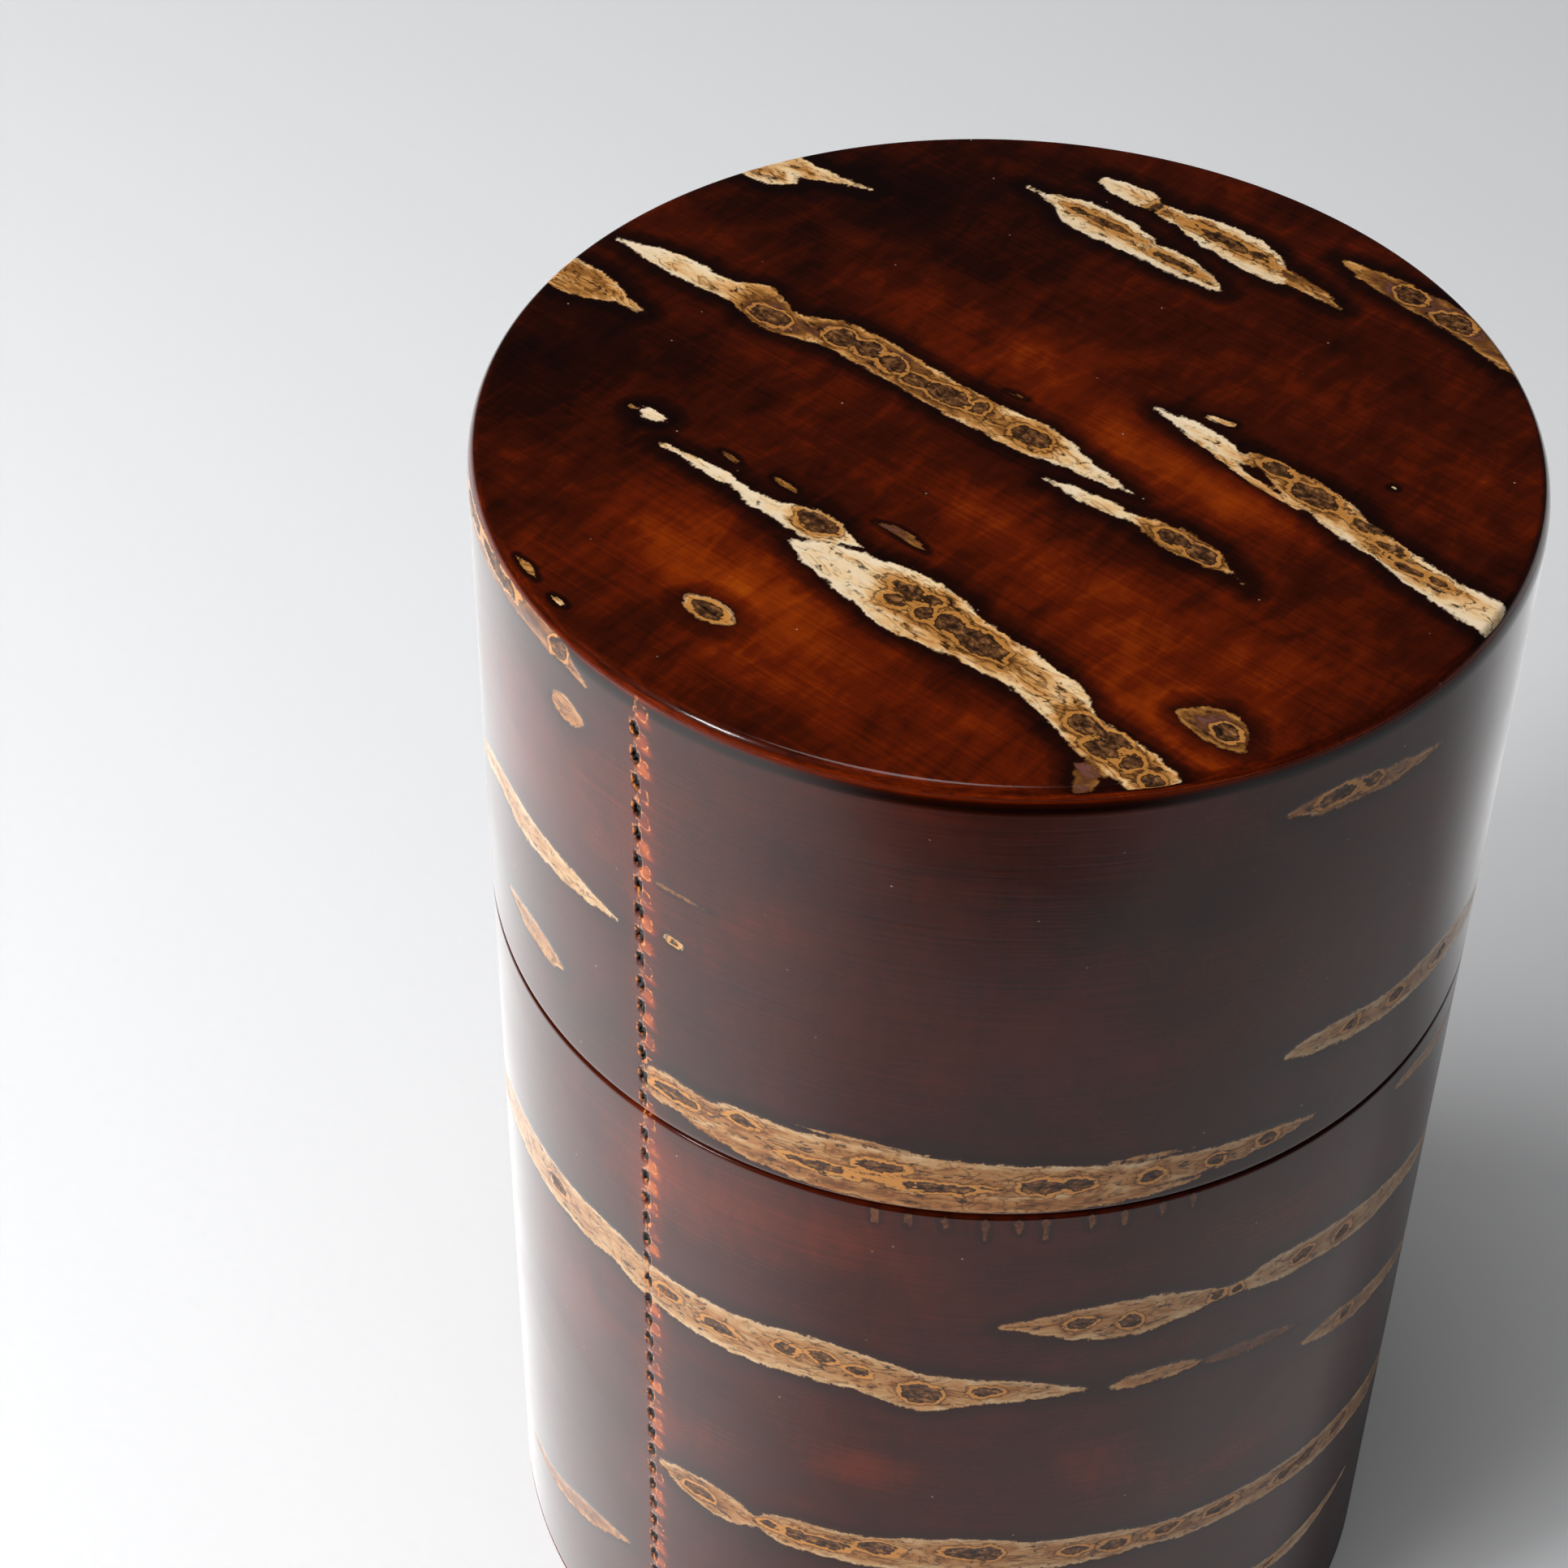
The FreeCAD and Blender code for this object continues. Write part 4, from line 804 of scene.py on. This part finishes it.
# short dark ticks under the lid's rim
for tickU, tickLong in ((19.7, 0.7), (22.3, 0.6), (25, 0.7), (28, 1.3), (30.5, 0.7), (32.5, 1.3), (36, 0.7),
                        (38.5, 0.8), (41.5, 0.6), (44, 0.6)):
    bodyWall["streaks"].append(
        {"tone": 0.98, "line": ((tickU, 76.6, 0.44), (tickU + 0.1, 76.4 - 1.3 * tickLong, 0.32))})
for item in bodyWall["streaks"]:
    if "pores" not in item and len(item["line"]) > 5:
        item["pores"] = scatterPores(item["line"], 7)
for spec in (lidWall, bodyWall):
    piece = makeBarkWrap(spec)
    print(spec["name"], "made:", len(piece.data.vertices), "points")

neckWall = {
    "name": "NeckBark", "node": "sleeve_bark_wrap", "body": "body", "slot": "thin_bark", "finish": thinBark,
    "thick": 0.4, "rows": 120, "rounding": (0.12, 0.18), "seed": 21.0, "level": 0.42,
    "columns": ((-117.12, 117, 0.8), (117, 117.12, 0.06)),
    "streaks": wildStreaks(47, 7, (-112, 70), (79, 101)),
    "glows": ((0, 90, 30, 8, 0.12), (70, 95, 20, 8, -0.08), (-70, 85, 24, 8, 0.08)),
}
makeBarkWrap(neckWall)
print("neck made")


# the bark on the inner lid, a ring round the knob's dowel
innerTop = {
    "name": "InnerLidTopBark", "node": "inner_lid_top_bark", "body": "inner_lid", "slot": "thin_bark",
    "finish": thinBark, "hole": 2.05, "rounding": 0.16, "columns": 260, "rows": 74,
    "seed": 27.0, "level": 0.42,
    "streaks": rowStreaks(
        ((-26, 14, 24, 1.3), (6, 20, 20, 1.0), (10, 3, 22, 1.5), (-33, -6, 20, 1.1), (-14, -19, 30, 1.6),
         (14, -12, 12, 0.7)),
        ((0.15, 0.5), (0.35, 1.0), (0.6, 0.8), (0.85, 0.6)), sway=(0.4, 7), tones=(0.25, 0.06), seed=60),
    "glows": ((0, 0, 20, 12, 0.1), (-20, -14, 12, 8, -0.1)),
}


def makeInnerTop(spec):
    radius, bottom, top = roundSize(spec["node"])
    rounding = spec["rounding"]
    turn = np.linspace(0, math.pi / 2, 5)
    profile = [(spec["hole"], bottom), (radius, bottom), (radius, bottom + 0.2)]
    profile += [(radius - rounding * (1 - math.cos(a)), top - rounding * (1 - math.sin(a))) for a in turn]
    profile += [(q, top) for q in np.linspace(radius - 0.5, spec["hole"], spec["rows"])]
    r, z = (np.array(column) for column in zip(*profile))
    angle = np.arange(spec["columns"]) * 2 * math.pi / spec["columns"]
    aa, rr = np.meshgrid(angle, r, indexing="ij")
    zz = np.meshgrid(angle, z, indexing="ij")[1].ravel()
    x, y = (rr * np.cos(aa)).ravel(), (rr * np.sin(aa)).ravel()
    streak, pore, tone, shade = drawBark(x, y, spec["streaks"], spec["glows"], spec["level"])
    relief = np.minimum(barkRelief(x, y, streak, pore), 0) * (zz > top - 1e-6)
    mesh = bpy.data.meshes.new(spec["name"])
    mesh.from_pydata((np.stack([x, y, zz + relief], -1) * mm).tolist(), [],
                     ringQuads(spec["columns"], len(r)).tolist())
    away = np.full(len(x), outside)
    putAttributes(mesh, {"place": (x, y, np.full(len(x), spec["seed"])), "bark": (streak, pore, tone),
                         "seam": (away, away, shade)})
    return finishPiece(mesh, spec["name"], spec["finish"], spec["body"], spec["node"])


makeInnerTop(innerTop)
print("inner lid top made")


# camera, floor and light
camera = {  # metres and degrees
    "place": (0.12320, -0.16529, 0.27368), "heading": 131.19, "down": 42.768, "roll": 0.877, "view": 25.593}
heading, down, roll = (math.radians(camera[key]) for key in ("heading", "down", "roll"))
forward = Vector((math.cos(down) * math.cos(heading), math.cos(down) * math.sin(heading), -math.sin(down)))
right = forward.cross(Vector((0, 0, 1))).normalized()
up = right.cross(forward)
rolledRight = right * math.cos(roll) + up * math.sin(roll)
rolledUp = up * math.cos(roll) - right * math.sin(roll)
cameraData = bpy.data.cameras.new("Camera")
cameraData.sensor_width = cameraData.sensor_height = 36
cameraData.angle = math.radians(camera["view"])
cameraData.clip_start = 0.01
cameraObject = bpy.data.objects.new("Camera", cameraData)
cameraObject.matrix_world = Matrix((
    *zip(rolledRight, rolledUp, -forward, camera["place"]),
    (0, 0, 0, 1)))
bpy.context.scene.collection.objects.link(cameraObject)
bpy.context.scene.camera = cameraObject

ahead = Vector((math.cos(heading), math.sin(heading), 0))
lamps = {  # metres to the right of the caddy, beyond it and above it, as the camera sees them; size; watts
    "SoftboxLeft": ((-0.56, -0.19, 0.42), 0.58, 5.5),
    "SoftboxFront": ((-0.5, -0.3, 0.45), 0.09, 1.05),
    "SoftboxTop": ((-0.2, -0.1, 1.4), 0.5, 3.4),
}
aim = Vector((0, 0, 0.06))  # half way up the caddy
for name, ((side, beyond, above), size, watts) in lamps.items():
    lampData = bpy.data.lights.new(name, "AREA")
    lampData.shape = "SQUARE"
    lampData.size = size
    lampData.energy = watts
    lamp = bpy.data.objects.new(name, lampData)
    lamp.visible_glossy = name != "SoftboxLeft"  # the big lamp's glare would hide the bark on the lid's top
    lamp.location = right * side + ahead * beyond + Vector((0, 0, above))
    lamp.rotation_euler = (aim - lamp.location).to_track_quat("-Z", "Y").to_euler()
    bpy.context.scene.collection.objects.link(lamp)

world = bpy.data.worlds.new("Studio")
bpy.context.scene.world = world
world.use_nodes = True
worldTree = world.node_tree
worldRay = addNode(worldTree, "LightPath").node.outputs["Is Camera Ray"]
# pale for the eye, and dim for the caddy
paleness = addNode(worldTree, "MapRange", {"Value": worldRay, "To Min": 0.045, "To Max": 0.95})
worldTree.nodes["Background"].inputs["Color"].default_value = linear("#E8ECF2")
worldTree.links.new(paleness, worldTree.nodes["Background"].inputs["Strength"])


def makeCard(name):
    # matt white card with a faint tooth; what the walls mirror of it is painted darker before the camera and
    # brighter towards the big lamp
    material, add = newMaterial(name)
    spot = add("TexCoord").node.outputs["Object"]
    tooth = add("TexNoise", {"Vector": spot, "Scale": 900.0, "Detail": 3.0})
    paper = add("ValToRGB", {"Fac": tooth}, stops=((0.3, "#F6F7F9"), (0.7, "#FAFBFC")))
    ray = add("LightPath").node.outputs
    nearer = add("VectorMath", (spot, -ahead), operation="DOT_PRODUCT").node.outputs["Value"]
    leftward = add("VectorMath", (spot, -right), operation="DOT_PRODUCT").node.outputs["Value"]
    reach = add("VectorMath", (spot,), operation="LENGTH").node.outputs["Value"]
    nearShare = add("Math", (nearer, reach), operation="DIVIDE")
    leftShare = add("Math", (leftward, reach), operation="DIVIDE")

    # in what the walls mirror, the card is painted near-black before the camera: painted shade in the
    # reflection on the front of the walls
    paintedDarkFront = add("MapRange", (nearer, 0.13, 0.176), interpolation_type="SMOOTHSTEP")
    facing = add("MapRange", (nearShare, 0.7, 0.96), interpolation_type="SMOOTHSTEP")
    paintedDarkFront = add("Math", (paintedDarkFront, facing), operation="MULTIPLY")
    paintedDarkFront = add("Math", (paintedDarkFront, ray["Is Glossy Ray"]), operation="MULTIPLY")
    paper = add("Mix", {0: paintedDarkFront, 6: paper, 7: linear("#0A0A0A")}, data_type="RGBA").node.outputs[2]
    card = add("BsdfPrincipled", {"Base Color": paper, "Roughness": 0.9, "IOR": 1.2})

    # in what the walls mirror, the card is also painted brighter on the big lamp's side and past the shadow:
    # a painted pool of light that shows only as a painted reflection on the walls
    lampSide = add("MapRange", (leftShare, 0.3, 0.9), interpolation_type="SMOOTHSTEP")
    close = add("MapRange", (reach, 0.7, 0.25))
    lampSide = add("Math", (lampSide, close), operation="MULTIPLY")
    behind = add("MapRange", (nearShare, -0.1, -0.55, 0.0, 0.62))
    pastShadow = add("MapRange", (reach, 0.085, 0.12))
    behind = add("Math", (behind, pastShadow), operation="MULTIPLY")
    paintedReflectionLift = add("Math", (lampSide, behind), operation="MAXIMUM")
    paintedReflectionLift = add("Math", (paintedReflectionLift, ray["Is Glossy Ray"]), operation="MULTIPLY")

    # a pale floor for the eye, not for the caddy: far from the lamps the card stays as pale as near them
    paler = add("MapRange", (reach, 0.28, 0.8, 0.07, 0.7), interpolation_type="SMOOTHSTEP")
    paler = add("Math", (paler, ray["Is Camera Ray"]), operation="MULTIPLY")
    seen = add("Math", (paler, paintedReflectionLift), operation="ADD")
    lift = add("Emission", {"Strength": seen})
    card = add("AddShader", (card, lift))
    add("OutputMaterial", {"Surface": card})
    return material


floorMesh = bpy.data.meshes.new("Floor")
floorMesh.from_pydata([(-3, -3, 0), (3, -3, 0), (3, 3, 0), (-3, 3, 0)], [], [(0, 1, 2, 3)])
floorMesh.materials.append(makeCard("CardMattWhite"))
floor = bpy.data.objects.new("Floor", floorMesh)
floor.location.z = -0.00005  # a hair under the base, so that the two faces don't share a plane
bpy.context.scene.collection.objects.link(floor)

bpy.context.scene.view_settings.view_transform = "Standard"
print("camera, floor and lamps set")
